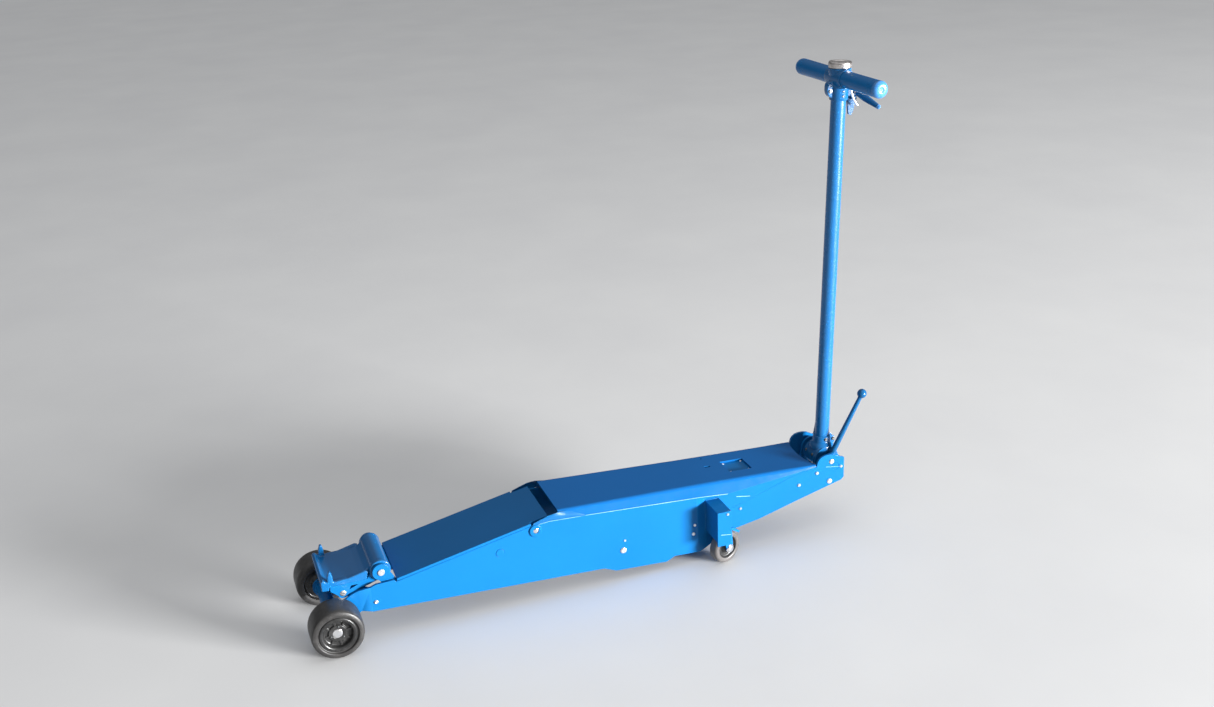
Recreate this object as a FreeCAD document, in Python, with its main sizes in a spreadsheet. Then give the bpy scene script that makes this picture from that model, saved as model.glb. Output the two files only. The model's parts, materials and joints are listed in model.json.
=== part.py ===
import FreeCAD, Part
import math
import os
import Sketcher

# Long-chassis trolley jack, millimetres, +Z up.
# -Y is forward (the saddle end), +X is the jack's left side.
# Lengths along Y are counted from the front axle, and heights from the floor.
# place() moves every sub-part so that the origin is under the middle of the jack.

DIMENSIONS = [
    ("origin_shift", 825.0, "front axle to the middle of the jack's length"),
    ("wheel_radius", 75.0, "front wheel"),
    ("wheel_width", 88.0, "front wheel"),
    ("wheel_outside", 189.0, "outer face of a front wheel from the middle plane"),
    ("axle_radius", 12.5, "front axle"),
    ("nose_radius", 30.0, "rounded front end of a side plate"),
    ("plate", 8.0, "side plate and arm plate thickness"),
    ("nose_side", 96.0, "outside of the side plates between the front wheels"),
    ("mid_side", 111.0, "outside of the side plates along the lifting arm"),
    ("rear_side", 95.0, "outside of the side plates behind the casters"),
    ("rear_end", 1627.0, "rear edge of the side plates"),
    ("cover_sheet", 6.0, "rear cover thickness"),
    ("cover_front", 675.0, "front edge of the rear cover"),
    ("cover_rear", 1528.0, "rear edge of the rear cover"),
    ("cover_front_height", 272.5, "top of the rear cover at its front edge"),
    ("cover_rear_height", 235.5, "top of the rear cover at its rear edge"),
    ("pivot_y", 602.5, "arm pivot"),
    ("pivot_z", 226.5, "arm pivot"),
    ("pivot_radius", 12.5, "arm pivot shaft"),
    ("arm_front", 188.0, "front edge of the arm's top plate"),
    ("arm_front_height", 168.0, "top of the arm plate at its front edge"),
    ("arm_rear", 644.0, "rear edge of the arm's top plate"),
    ("arm_rear_height", 262.0, "top of the arm plate at its rear edge"),
    ("saddle_pin_y", 148.0, "pivot of the saddle carrier on the arm"),
    ("saddle_pin_z", 192.0, "pivot of the saddle carrier on the arm"),
    ("barrel_radius", 30.0, "round rear end of the saddle, about its pivot"),
    ("saddle_half", 88.0, "half the width of the saddle"),
    ("pitch_y", 110.5, "levelling parallelogram, offset of its two pivots along Y"),
    ("pitch_z", 48.5, "levelling parallelogram, offset of its two pivots along Z"),
    ("crank", 95.0, "arm pivot to ram pin"),
    ("crank_lean", 22.5, "lean of the crank behind the vertical at rest, degrees"),
    ("ram_z", 135.0, "axis of the hydraulic ram"),
    ("ram_radius", 22.0, "piston rod"),
    ("bore", 35.0, "cylinder bore radius"),
    ("cylinder_radius", 45.0, "cylinder outside radius"),
    ("cylinder_front", 762.0, "mouth of the cylinder"),
    ("cylinder_rear", 1000.0, "closed end of the cylinder"),
    ("caster_x", 147.0, "caster kingpin"),
    ("caster_y", 1170.0, "caster kingpin"),
    ("caster_trail", 22.0, "caster wheel axle behind the kingpin"),
    ("caster_radius", 52.0, "caster wheel"),
    ("caster_width", 32.0, "caster wheel"),
    ("caster_turn", 20.0, "caster swivel angle at rest, degrees"),
    ("box_front", 1147.0, "front wall of a caster housing"),
    ("box_rear", 1192.0, "rear edge of a caster housing"),
    ("box_outside", 188.0, "outer wall of a caster housing"),
    ("box_top", 196.0, "top of a caster housing"),
    ("box_wall", 6.0, "caster housing wall"),
    ("yoke_y", 1596.0, "handle pivot"),
    ("yoke_z", 218.0, "handle pivot"),
    ("yoke_pin", 12.0, "handle pivot pin radius"),
    ("ear_radius", 34.0, "round ears beside the handle yoke"),
    ("handle_lean", 1.68, "lean of the upright handle to the rear, degrees"),
    ("tube_radius", 22.2, "handle tube outside"),
    ("tube_wall", 3.6, "handle tube wall"),
    ("bar_height", 1200.0, "handle pivot to the middle of the T-bar"),
    ("bar_radius", 24.5, "T-bar grip"),
    ("bar_half", 232.5, "half the length of the T-bar"),
    ("lever_length", 239.0, "handle pivot to the ball of a control lever"),
    ("lever_x", 50.0, "control lever from the middle plane"),
    ("near_lean", 28.5, "lean of the left control lever at rest, degrees"),
    ("far_lean", 9.5, "lean of the right control lever at rest, degrees"),
    ("ball_radius", 15.0, "ball on a control lever"),
    ("fit", 0.08, "radial clearance of a pin in its hole"),
    ("bolt_radius", 7.0, "bolt heads on the side plates"),
]

doc = FreeCAD.newDocument("trolley_jack")
sheet = doc.addObject("Spreadsheet::Sheet", "Dims")
finished = []


class Size:
    """A length that keeps its value and the sheet formula that gives it."""

    def __init__(self, value, formula):
        self.value = value
        self.formula = formula

    def __add__(self, other):
        return joined(self, "+", other)

    def __radd__(self, other):
        return joined(other, "+", self)

    def __sub__(self, other):
        return joined(self, "-", other)

    def __rsub__(self, other):
        return joined(other, "-", self)

    def __mul__(self, other):
        return joined(self, "*", other)

    def __rmul__(self, other):
        return joined(other, "*", self)

    def __truediv__(self, other):
        return joined(self, "/", other)

    def __neg__(self):
        return joined(0.0, "-", self)


def value_of(size):
    return size.value if isinstance(size, Size) else float(size)


def formula_of(size):
    return size.formula if isinstance(size, Size) else repr(float(size))


def joined(left, sign, right):
    a, b = value_of(left), value_of(right)
    value = {"+": a + b, "-": a - b, "*": a * b, "/": a / b if b else 0.0}[sign]
    return Size(value, "(%s %s %s)" % (formula_of(left), sign, formula_of(right)))


class Dimensions:
    """Every driving dimension by its name."""


D = Dimensions()


def fill_sheet():
    for row, (name, value, meaning) in enumerate(DIMENSIONS, start=1):
        sheet.set("A%d" % row, meaning)
        sheet.set("B%d" % row, str(value))
        sheet.setAlias("B%d" % row, name)
        setattr(D, name, Size(value, "Dims." + name))
    doc.recompute()


def bind(item, name, size):
    """Set a property, and bind it to the sheet where it comes from there."""
    if isinstance(size, Size):
        item.setExpression(name, size.formula)
    else:
        setattr(item, name, size)


# ---------------------------------------------------------------- helpers

def new_body(name):
    return doc.addObject("PartDesign::Body", name)


def origin_plane(body, role):
    for feature in body.Origin.OriginFeatures:
        if feature.Role == role:
            return feature


def fix_point(sketch, geometry, position, x, y):
    """Hold one sketch point at x, y from the sketch's origin."""
    for axis, size, line in (("DistanceX", x, -2), ("DistanceY", y, -1)):
        if not isinstance(size, Size) and size == 0:
            sketch.addConstraint(Sketcher.Constraint("PointOnObject", geometry, position, line))
            continue
        rule = Sketcher.Constraint(axis, -1, 1, geometry, position, value_of(size))
        index = sketch.addConstraint(rule)
        if isinstance(size, Size):
            sketch.setExpression("Constraints[%d]" % index, size.formula)


def draw_polygon(sketch, points):
    first = sketch.GeometryCount
    count = len(points)
    vectors = [FreeCAD.Vector(value_of(x), value_of(y), 0) for x, y in points]
    for i in range(count):
        sketch.addGeometry(Part.LineSegment(vectors[i], vectors[(i + 1) % count]))
    for i in range(count):
        following = first + (i + 1) % count
        sketch.addConstraint(Sketcher.Constraint("Coincident", first + i, 2, following, 1))
    for i, (x, y) in enumerate(points):
        fix_point(sketch, first + i, 1, x, y)


def draw_circle(sketch, x, y, radius):
    centre = FreeCAD.Vector(value_of(x), value_of(y), 0)
    index = sketch.addGeometry(Part.Circle(centre, FreeCAD.Vector(0, 0, 1), value_of(radius)))
    fix_point(sketch, index, 3, x, y)
    rule = sketch.addConstraint(Sketcher.Constraint("Radius", index, value_of(radius)))
    if isinstance(radius, Size):
        sketch.setExpression("Constraints[%d]" % rule, radius.formula)


def new_sketch(body, role, offset=0.0):
    sketch = body.newObject("Sketcher::SketchObject", body.Name + "_sketch")
    sketch.AttachmentSupport = [(origin_plane(body, role), "")]
    sketch.MapMode = "FlatFace"
    if isinstance(offset, Size):
        sketch.setExpression("AttachmentOffset.Base.z", offset.formula)
    place_offset = FreeCAD.Vector(0, 0, value_of(offset))
    sketch.AttachmentOffset = FreeCAD.Placement(place_offset, FreeCAD.Rotation())
    return sketch


def pad(body, sketch, length):
    feature = body.newObject("PartDesign::Pad", body.Name + "_pad")
    feature.Profile = sketch
    bind(feature, "Length", length)
    sketch.Visibility = False
    return feature


def side_shape(name, start, thickness, outline=(), discs=(), holes=()):
    """A plate in the YZ plane from x = start: an outline, round ends and holes."""
    body = new_body(name)
    if outline:
        sketch = new_sketch(body, "YZ_Plane", start)
        draw_polygon(sketch, outline)
        pad(body, sketch, thickness)
    for y, z, radius in discs:
        sketch = new_sketch(body, "YZ_Plane", start)
        draw_circle(sketch, y, z, radius)
        pad(body, sketch, thickness)
    for y, z, radius in holes:
        cut_hole(body, "YZ_Plane", start, thickness, y, z, radius)
    return body


def cut_hole(body, role, start, depth, x, y, radius):
    """Cut a round hole along the plane's normal, from start over depth."""
    sketch = new_sketch(body, role, start)
    draw_circle(sketch, x, y, radius)
    pocket = body.newObject("PartDesign::Pocket", body.Name + "_hole")
    pocket.Profile = sketch
    pocket.Reversed = True
    bind(pocket, "Length", depth)
    sketch.Visibility = False


def level_shape(name, height, thickness, outline, holes=()):
    """A plate in the XY plane, from z = height up."""
    body = new_body(name)
    sketch = new_sketch(body, "XY_Plane", height)
    draw_polygon(sketch, outline)
    pad(body, sketch, thickness)
    for x, y, radius in holes:
        cut_hole(body, "XY_Plane", height, thickness, x, y, radius)
    return body


def turned(name, profile, axis="X"):
    """A turned piece: (along, radius) points revolved about the X or Z axis."""
    body = new_body(name)
    role = "XY_Plane" if axis == "X" else "XZ_Plane"
    points = profile if axis == "X" else [(radius, along) for along, radius in profile]
    sketch = new_sketch(body, role)
    draw_polygon(sketch, points)
    feature = body.newObject("PartDesign::Revolution", name + "_turn")
    feature.Profile = sketch
    feature.ReferenceAxis = (sketch, ["H_Axis" if axis == "X" else "V_Axis"])
    feature.Angle = 360.0
    sketch.Visibility = False
    return body


def rectangle(x0, y0, x1, y1):
    return [(x0, y0), (x1, y0), (x1, y1), (x0, y1)]


ALONG_X = FreeCAD.Rotation(FreeCAD.Vector(0, 1, 0), 90)
ALONG_Y = FreeCAD.Rotation(FreeCAD.Vector(1, 0, 0), -90)
UPRIGHT = FreeCAD.Rotation()


def round_bar(name, x, y, z, radius, length, turn=ALONG_X):
    """A cylinder that starts at x, y, z and runs along the turned Z axis."""
    bar = doc.addObject("Part::Cylinder", name)
    bind(bar, "Radius", radius)
    bind(bar, "Height", length)
    set_place(bar, x, y, z, turn)
    return bar


def block(name, x0, y0, z0, dx, dy, dz):
    box = doc.addObject("Part::Box", name)
    bind(box, "Length", dx)
    bind(box, "Width", dy)
    bind(box, "Height", dz)
    set_place(box, x0, y0, z0, UPRIGHT)
    return box


def set_place(item, x, y, z, turn):
    base = FreeCAD.Vector(value_of(x), value_of(y), value_of(z))
    item.Placement = FreeCAD.Placement(base, turn)
    for letter, size in (("x", x), ("y", y), ("z", z)):
        if isinstance(size, Size):
            item.setExpression("Placement.Base." + letter, size.formula)


def fused(name, items):
    result = doc.addObject("Part::MultiFuse", name)
    result.Shapes = items
    return result


def cut_from(name, base, tool):
    result = doc.addObject("Part::Cut", name)
    result.Base = base
    result.Tool = tool
    return result


def grouped(name, items):
    result = doc.addObject("Part::Compound", name)
    result.Links = items
    return result


def mirrored(name, source):
    result = doc.addObject("Part::Mirroring", name)
    result.Source = source
    result.Normal = FreeCAD.Vector(1, 0, 0)
    return result


def place(item, label, x=0.0, y=0.0, z=0.0, turn=UPRIGHT, angle=None):
    """Name a finished sub-part and stand it in the jack's frame."""
    item.Label = label
    set_place(item, x, y - D.origin_shift, z, turn)
    if isinstance(angle, Size):
        item.setExpression("Placement.Rotation.Angle", angle.formula)
    finished.append(item)
    return item


def tilt(angle):
    """Rotation about X; a negative angle leans an upright piece to the rear."""
    return FreeCAD.Rotation(FreeCAD.Vector(1, 0, 0), angle)


def turn_about_z(angle):
    return FreeCAD.Rotation(FreeCAD.Vector(0, 0, 1), angle)


# ---------------------------------------------------------------- lines of the chassis

def arm_top(y):
    """Height of the arm's sloping top at y."""
    rise = (D.arm_rear_height - D.arm_front_height) / (D.arm_rear - D.arm_front)
    return D.arm_front_height + rise * (y - D.arm_front)


def cover_top(y):
    """Height of the rear cover's top at y."""
    rise = (D.cover_rear_height - D.cover_front_height) / (D.cover_rear - D.cover_front)
    return D.cover_front_height + rise * (y - D.cover_front)


BEND_FRONT = (80.0, 112.0)       # side plates spread from the nose to the arm
BEND_REAR = (1112.0, 1150.0)     # and draw in again at the caster housings
FOLD_FRONT = (675.0, 26.5)       # the cover's flange, distance back and depth: at its front,
FOLD_MID = (1125.0, 33.5)        # ahead of the caster housings,
FOLD_REAR = (1222.0, 38.0)       # and above them; from there it dies out at the rear edge
EDGE_GAP = 0.5                   # side plate below the cover's lip at the rear edge
ARM_GAP = 0.6                    # arm plate above the side plates' top edges


def under_cover(y, depth):
    """A height measured down from the rear cover's top at y."""
    return cover_top(y) - depth


def side_plate():
    """One pressed side plate: its plan strip cut to its side outline."""
    nose, mid, rear, sheet_t = D.nose_side, D.mid_side, D.rear_side, D.plate
    front = -1.0 * D.nose_radius
    out = [(nose, front), (nose, BEND_FRONT[0]), (mid, BEND_FRONT[1]), (mid, BEND_REAR[0]),
           (rear, BEND_REAR[1]), (rear, D.rear_end)]
    back = [(x - sheet_t, y) for x, y in reversed(out)]
    strip = level_shape("side_plan", 0.0, 300.0, out + back)
    crest = 600.0
    outline = [
        (0.0, D.wheel_radius - D.nose_radius), (84.0, 79.8), (809.0, 48.0), (847.0, 31.5),
        (1010.0, 23.0), (1037.0, 36.0), (1105.0, 33.0), (1128.0, 29.0), (1152.0, 33.0),
        (1195.0, 62.0), (1248.0, 75.5), (1332.0, 90.5), (1472.0, 128.5), (1618.0, 166.0),
        (D.rear_end, 175.0), (D.rear_end, 243.0), (1620.0, 246.0), (1608.0, 250.0),
        (1592.0, 259.0), (1578.0, 262.0), (1560.0, 262.0), (1549.0, 259.0), (1540.0, 253.0),
        (1534.0, 244.0), (D.cover_rear + 2.0, 229.0),
        (D.cover_rear, under_cover(D.cover_rear, 8.0)), (1450.0, under_cover(1450.0, 16.5)),
        (1395.0, under_cover(1395.0, 21.5)), (1350.0, under_cover(1350.0, 23.0)),
        (1178.0, under_cover(1178.0, 24.5)), (1160.0, under_cover(1160.0, 37.5)),
        (FOLD_MID[0], under_cover(*FOLD_MID)), (FOLD_FRONT[0], under_cover(*FOLD_FRONT)),
        (645.0, 249.0),
        (crest, arm_top(crest) - D.plate - ARM_GAP),
        (184.5, arm_top(184.5) - D.plate - ARM_GAP), (179.0, 164.5), (128.0, 163.0),
        (104.0, 154.5), (60.0, 139.0), (0.0, D.wheel_radius + D.nose_radius),
    ]
    outside = side_shape("side_outline", 0.0, 200.0, outline,
                         discs=[(0.0, D.wheel_radius, D.nose_radius)],
                         holes=[(0.0, D.wheel_radius, D.axle_radius),
                                (D.pivot_y, D.pivot_z, D.pivot_radius),
                                (D.pivot_y - D.pitch_y, D.pivot_z - D.pitch_z, D.pivot_radius),
                                (D.yoke_y, D.yoke_z, D.yoke_pin)])
    left = doc.addObject("Part::MultiCommon", "side_plate_left")
    left.Shapes = [strip, outside]
    place(left, "side_plate_left")
    place(mirrored("side_plate_right", left), "side_plate_right", y=D.origin_shift)


def cover_section(body, y, edge, flange, drop, lip):
    """One cross-section of the folded cover sheet at y, as an eight-sided outline."""
    top = cover_top(y)
    sheet_t = D.cover_sheet
    right = [(edge, top), (flange, top - drop), (flange - lip, top - drop),
             (edge - sheet_t, top - sheet_t)]
    left = [(-1.0 * x, z) for x, z in reversed(right)]
    sketch = new_sketch(body, "XZ_Plane", -1.0 * y)
    draw_polygon(sketch, right + left)
    sketch.Visibility = False
    return sketch


def rear_cover():
    """Folded top sheet: flat top, sloping flanges that die out at the casters."""
    body = new_body("cover_sheet_metal")
    lip = D.plate - 1.0
    sections = [
        cover_section(body, FOLD_FRONT[0], 104.0, D.mid_side, FOLD_FRONT[1], lip),
        cover_section(body, FOLD_MID[0], 94.0, D.mid_side, FOLD_MID[1], lip),
        cover_section(body, FOLD_REAR[0], 93.5, D.mid_side, FOLD_REAR[1], lip),
        cover_section(body, D.cover_rear, 92.5, D.rear_side, D.cover_sheet + EDGE_GAP, lip),
    ]
    loft = body.newObject("PartDesign::AdditiveLoft", "cover_loft")
    loft.Profile = sections[0]
    loft.Sections = sections[1:]
    loft.Ruled = True
    hole = block("cover_opening", -31.0, 1254.0, 180.0, 74.0, 77.0, 100.0)
    slot = block("cover_slot", -17.0, 1194.0, 180.0, 8.0, 19.0, 100.0)
    breather = round_bar("cover_breather", -72.0, 1207.0, 180.0, 3.5, 100.0, UPRIGHT)
    sweep, depth = 278.0, 16.0
    notch = round_bar("cover_notch", 0.0, D.cover_rear + (sweep - depth), 180.0, sweep, 100.0,
                      UPRIGHT)
    cuts = fused("cover_cuts", [hole, slot, breather, notch])
    place(cut_from("rear_cover", body, cuts), "rear_cover")


def access_cover():
    """Small plate screwed under the service opening of the rear cover."""
    low, high, thick = 1245.0, 1340.0, 4.0

    def under(y):
        return cover_top(y) - D.cover_sheet

    outline = [(low, under(low) - thick), (high, under(high) - thick),
               (high, under(high)), (low, under(low))]
    place(side_shape("access_plate", -40.0, 92.0, outline), "access_cover")
    screws = []
    for x in (-24.0, 36.0):
        for y in (1262.0, 1323.0):
            screws.append(round_bar("cover_screw", x, y, under(y) + 0.2, 3.6, 2.4, UPRIGHT))
    place(grouped("access_cover_screws", screws), "access_cover_screws")


def front_axle():
    axle_z = D.wheel_radius
    end = D.wheel_outside - 14.0
    place(round_bar("axle", -1.0 * end, 0.0, 0.0, D.axle_radius - D.fit, end * 2.0),
          "front_axle", x=-1.0 * end, z=axle_z, turn=ALONG_X)
    inside = D.nose_side - D.plate
    tube = cut_from("axle_tube",
                    round_bar("axle_tube_outside", -1.0 * inside, 0.0, 0.0, 21.0, inside * 2.0),
                    round_bar("axle_tube_bore", -1.0 * inside, 0.0, 0.0, D.axle_radius,
                              inside * 2.0))
    place(tube, "front_axle_tube", z=axle_z)
    gap = D.wheel_outside - D.wheel_width - D.nose_side
    rings = []
    for start in (D.nose_side, -1.0 * D.nose_side - gap):
        outer = round_bar("spacer_outside", start, 0.0, 0.0, 20.0, gap + 4.4)
        inner = round_bar("spacer_bore", start, 0.0, 0.0, D.axle_radius, gap + 4.4)
        if start is not D.nose_side:
            for piece in (outer, inner):
                set_place(piece, start - 4.4, 0.0, 0.0, ALONG_X)
        rings.append(cut_from("spacer", outer, inner))
    place(grouped("front_axle_spacers", rings), "front_axle_spacers", z=axle_z)


def front_wheel():
    """Solid wheel, drawn from its inner face outwards."""
    wide, tall, bore = D.wheel_width, D.wheel_radius, D.axle_radius
    profile = [(5.0, bore), (5.0, 26.0), (14.0, 34.0), (14.0, 50.0), (0.0, 55.0),
               (0.0, tall - 9.0), (3.0, tall - 3.0), (9.0, tall),
               (wide - 9.0, tall), (wide - 3.0, tall - 3.0), (wide, tall - 9.0),
               (wide, 58.0), (wide - 7.0, 55.0), (wide - 4.0, 48.0), (wide - 4.0, 42.0),
               (wide - 20.0, 38.0), (wide - 20.0, bore)]
    left = turned("wheel_turning", profile)
    inner_face = D.wheel_outside - D.wheel_width
    place(left, "front_wheel_left", x=inner_face, z=D.wheel_radius)
    right = turned("wheel_turning_right", profile)
    place(right, "front_wheel_right", x=-1.0 * inner_face, z=D.wheel_radius,
          turn=turn_about_z(180))


def shafts():
    """Cross shafts of the arm and of the levelling links, with their end caps."""
    out = D.mid_side
    place(round_bar("arm_shaft", 0.0, 0.0, 0.0, D.pivot_radius - D.fit, out * 2.0),
          "arm_pivot_shaft", x=-1.0 * out, y=D.pivot_y, z=D.pivot_z, turn=ALONG_X)
    caps = [round_bar("shaft_cap", out, 0.0, 0.0, 19.0, 5.0),
            round_bar("shaft_cap", -1.0 * out - 5.0, 0.0, 0.0, 19.0, 5.0)]
    place(grouped("arm_pivot_caps", caps), "arm_pivot_caps", y=D.pivot_y, z=D.pivot_z)
    reach = out + 1.5
    place(round_bar("link_shaft", 0.0, 0.0, 0.0, D.pivot_radius - D.fit, reach * 2.0),
          "link_pivot_shaft", x=-1.0 * reach, y=D.pivot_y - D.pitch_y,
          z=D.pivot_z - D.pitch_z, turn=ALONG_X)
    inside = out - D.plate
    place(round_bar("cross_tube", 0.0, 0.0, 0.0, 16.0, inside * 2.0), "front_cross_tube",
          x=-1.0 * inside, y=300.0, z=92.0, turn=ALONG_X)


def frame_bolts():
    """Bolt heads on the outer faces, alike on both sides."""
    spots = [(123.0, 108.0, D.mid_side), (871.0, 96.0, D.mid_side), (877.0, 128.5, D.mid_side),
             (1105.0, 128.0, D.mid_side), (1100.0, 99.0, D.mid_side),
             (1266.0, 141.5, D.rear_side), (1468.0, 178.5, D.rear_side),
             (1531.0, 207.0, D.rear_side), (1576.0, 170.0, D.rear_side),
             (1582.0, 237.0, D.rear_side), (1616.0, 214.0, D.rear_side)]
    head = 4.0
    heads = []
    for y, z, face in spots:
        heads.append(round_bar("bolt_head", face, y, z, D.bolt_radius, head))
        heads.append(round_bar("bolt_head", -1.0 * face - head, y, z, D.bolt_radius, head))
    place(grouped("frame_bolts", heads), "frame_bolts")


# ---------------------------------------------------------------- hydraulics

def hydraulics():
    """Cylinder, valve block, tank, pump block and pressure pipe inside the chassis."""
    z = D.ram_z
    length = D.cylinder_rear - D.cylinder_front
    outside = round_bar("barrel", 0.0, D.cylinder_front, z, D.cylinder_radius, length, ALONG_Y)
    bore = round_bar("barrel_bore", 0.0, D.cylinder_front + 14.0, z, D.bore, length - 28.0,
                     ALONG_Y)
    mouth = round_bar("barrel_mouth", 0.0, D.cylinder_front - 1.0, z, D.ram_radius, 20.0, ALONG_Y)
    cuts = fused("barrel_cuts", [bore, mouth])
    place(cut_from("cylinder", outside, cuts), "hydraulic_cylinder")
    inside = D.mid_side - D.plate
    saddle_block = block("cradle_block", -1.0 * inside, 855.0, 62.0, inside * 2.0, 36.0, 84.0)
    seat = round_bar("cradle_seat", 0.0, 850.0, z, D.cylinder_radius, 60.0, ALONG_Y)
    place(cut_from("cradle", saddle_block, seat), "cylinder_cradle")
    place(block("valve", -50.0, 0.0, 0.0, 100.0, 70.0, 90.0), "valve_block",
          x=-50.0, y=D.cylinder_rear, z=90.0)
    tank = block("tank_outside", -75.0, 1070.0, 95.0, 150.0, 210.0, 118.0)
    room = block("tank_room", -71.0, 1074.0, 99.0, 142.0, 202.0, 110.0)
    place(cut_from("tank", tank, room), "reservoir_tank")
    pump = block("pump_outside", -45.0, 1430.0, 155.0, 90.0, 75.0, 60.0)
    chamber = round_bar("pump_chamber", 0.0, 1440.0, D.yoke_z - 32.0, 9.0, 80.0, ALONG_Y)
    place(cut_from("pump", pump, chamber), "pump_block")
    pipe_z = 224.0
    pipe = fused("pipe_runs", [
        round_bar("pipe_rear_fitting", 30.0, 1462.0, 215.0, 8.0, 15.0, UPRIGHT),
        round_bar("pipe_run", 30.0, 1035.0, pipe_z, 4.0, 427.0, ALONG_Y),
        round_bar("pipe_front_fitting", 30.0, 1035.0, 180.0, 8.0, 50.0, UPRIGHT)])
    place(pipe, "pressure_pipe")


def ram():
    """Piston rod with its piston, and the slotted crosshead that pushes the ram pin."""
    z = D.ram_z
    pin_y = D.pivot_y + D.crank * math.sin(math.radians(D.crank_lean.value))
    head_rear = pin_y + 24.0
    rod = round_bar("rod", 0.0, head_rear, z, D.ram_radius - D.fit, 890.0 - head_rear, ALONG_Y)
    piston = round_bar("piston", 0.0, 880.0, z, D.bore - D.fit, 24.0, ALONG_Y)
    place(fused("rod_and_piston", [rod, piston]), "ram_rod")
    pin_z = D.pivot_z - D.crank * math.cos(math.radians(D.crank_lean.value))
    low = D.pivot_z - D.crank - 14.0
    slot = [(pin_y - 12.0, low), (pin_y + 12.0, low), (pin_y + 12.0, pin_z + 14.0),
            (pin_y - 12.0, pin_z + 14.0)]
    whole = side_shape("crosshead_block", -20.0, 40.0,
                       rectangle(pin_y - 24.0, low - 12.0, pin_y + 24.0, pin_z + 26.0))
    hollow = side_shape("crosshead_slot", -30.0, 60.0, slot)
    place(cut_from("crosshead", whole, hollow), "ram_crosshead")


def pump_plunger():
    axis_z = D.yoke_z - 32.0
    face = D.yoke_y - 11.0 - 1.8
    rod = round_bar("plunger_rod", 0.0, 1480.0, axis_z, 9.0 - D.fit, face - 1486.0, ALONG_Y)
    head = round_bar("plunger_head", 0.0, face - 7.0, axis_z, 11.0, 7.0, ALONG_Y)
    place(fused("plunger", [rod, head]), "pump_plunger")


# ---------------------------------------------------------------- lifting arm

WEB_START = 90.0                 # arm webs stand between 90 and 100 mm from the middle
WEB_THICK = 10.0
TORQUE_RADIUS = 18.4             # torque tube, just under the arm plate


def arm_top_plate():
    """Sloping top plate: full width ahead of the crest, narrow behind it."""
    full_end = 590.0
    half = D.mid_side

    def strip(y0, y1):
        return [(y0, arm_top(y0) - D.plate), (y1, arm_top(y1) - D.plate),
                (y1, arm_top(y1)), (y0, arm_top(y0))]

    body = side_shape("arm_plate", -1.0 * half, half * 2.0, strip(D.arm_front, full_end))
    narrow = D.mid_side - D.plate - 2.0
    tail = new_sketch(body, "YZ_Plane", -1.0 * narrow)
    draw_polygon(tail, strip(full_end - 1.0, D.arm_rear))
    pad(body, tail, narrow * 2.0)
    place(body, "arm_top_plate")


def arm_web(sign, side):
    """Upright web of the arm with the ear that holds the saddle carrier."""
    outline = [
        (D.saddle_pin_y - 14.0, D.saddle_pin_z - 14.0), (D.saddle_pin_y + 6.0, 146.0),
        (230.0, 132.0), (436.0, 172.0), (460.0, 197.0), (505.0, 200.0),
        (D.pivot_y - 20.0, D.pivot_z - 18.0), (D.pivot_y + 30.0, D.pivot_z - 12.0),
        (636.0, arm_top(636.0) - D.plate), (D.arm_front, arm_top(D.arm_front) - D.plate),
        (D.saddle_pin_y + 18.0, D.saddle_pin_z + 8.0),
    ]
    start = WEB_START if sign > 0 else -WEB_START - WEB_THICK
    body = side_shape("arm_web", start, WEB_THICK, outline,
                      discs=[(D.saddle_pin_y, D.saddle_pin_z, 25.0),
                             (D.pivot_y, D.pivot_z, TORQUE_RADIUS)],
                      holes=[(D.saddle_pin_y, D.saddle_pin_z, 10.0),
                             (D.pivot_y, D.pivot_z, D.pivot_radius)])
    place(body, "arm_web_" + side)


def arm_crank():
    """Torque tube on the arm shaft, and the pair of crank plates with the ram pin."""
    tube = cut_from("torque_tube",
                    round_bar("torque_outside", -WEB_START, 0.0, 0.0, TORQUE_RADIUS,
                              2 * WEB_START),
                    round_bar("torque_bore", -WEB_START, 0.0, 0.0, D.pivot_radius, 2 * WEB_START))
    place(tube, "arm_torque_tube", y=D.pivot_y, z=D.pivot_z)
    tip = -1.0 * D.crank
    outline = [(-36.0, 3.0), (-18.0, tip), (18.0, tip), (36.0, 3.0)]
    plates = []
    for start in (24.0, -34.0):
        plates.append(side_shape("crank_plate", start, 10.0, outline,
                                 discs=[(0.0, tip, 18.0)],
                                 holes=[(0.0, 0.0, TORQUE_RADIUS), (0.0, tip, 11.0)]))
    place(grouped("crank_plates", plates), "arm_crank_plates", y=D.pivot_y, z=D.pivot_z,
          turn=tilt(D.crank_lean.value), angle=D.crank_lean)
    pin = round_bar("ram_pin_bar", -36.0, 0.0, tip, 11.0, 72.0)
    place(grouped("ram_pin_group", [pin]), "ram_pin", y=D.pivot_y, z=D.pivot_z,
          turn=tilt(D.crank_lean.value), angle=D.crank_lean)


def saddle_pins():
    """Two pins through the arm's ears that carry the saddle carrier."""
    pins = [round_bar("saddle_pin", start, 0.0, 0.0, 10.0 - D.fit, 27.0)
            for start in (76.0, -103.0)]
    place(grouped("saddle_pins", pins), "saddle_pins", y=D.saddle_pin_y, z=D.saddle_pin_z)


CHEEK = 76.0                     # carrier cheeks stand between 76 and 86 mm from the middle
CHEEK_THICK = 10.0
BED_LOW = 163.0                  # bed plate under the saddle
BED_TOP = 172.0


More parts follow.
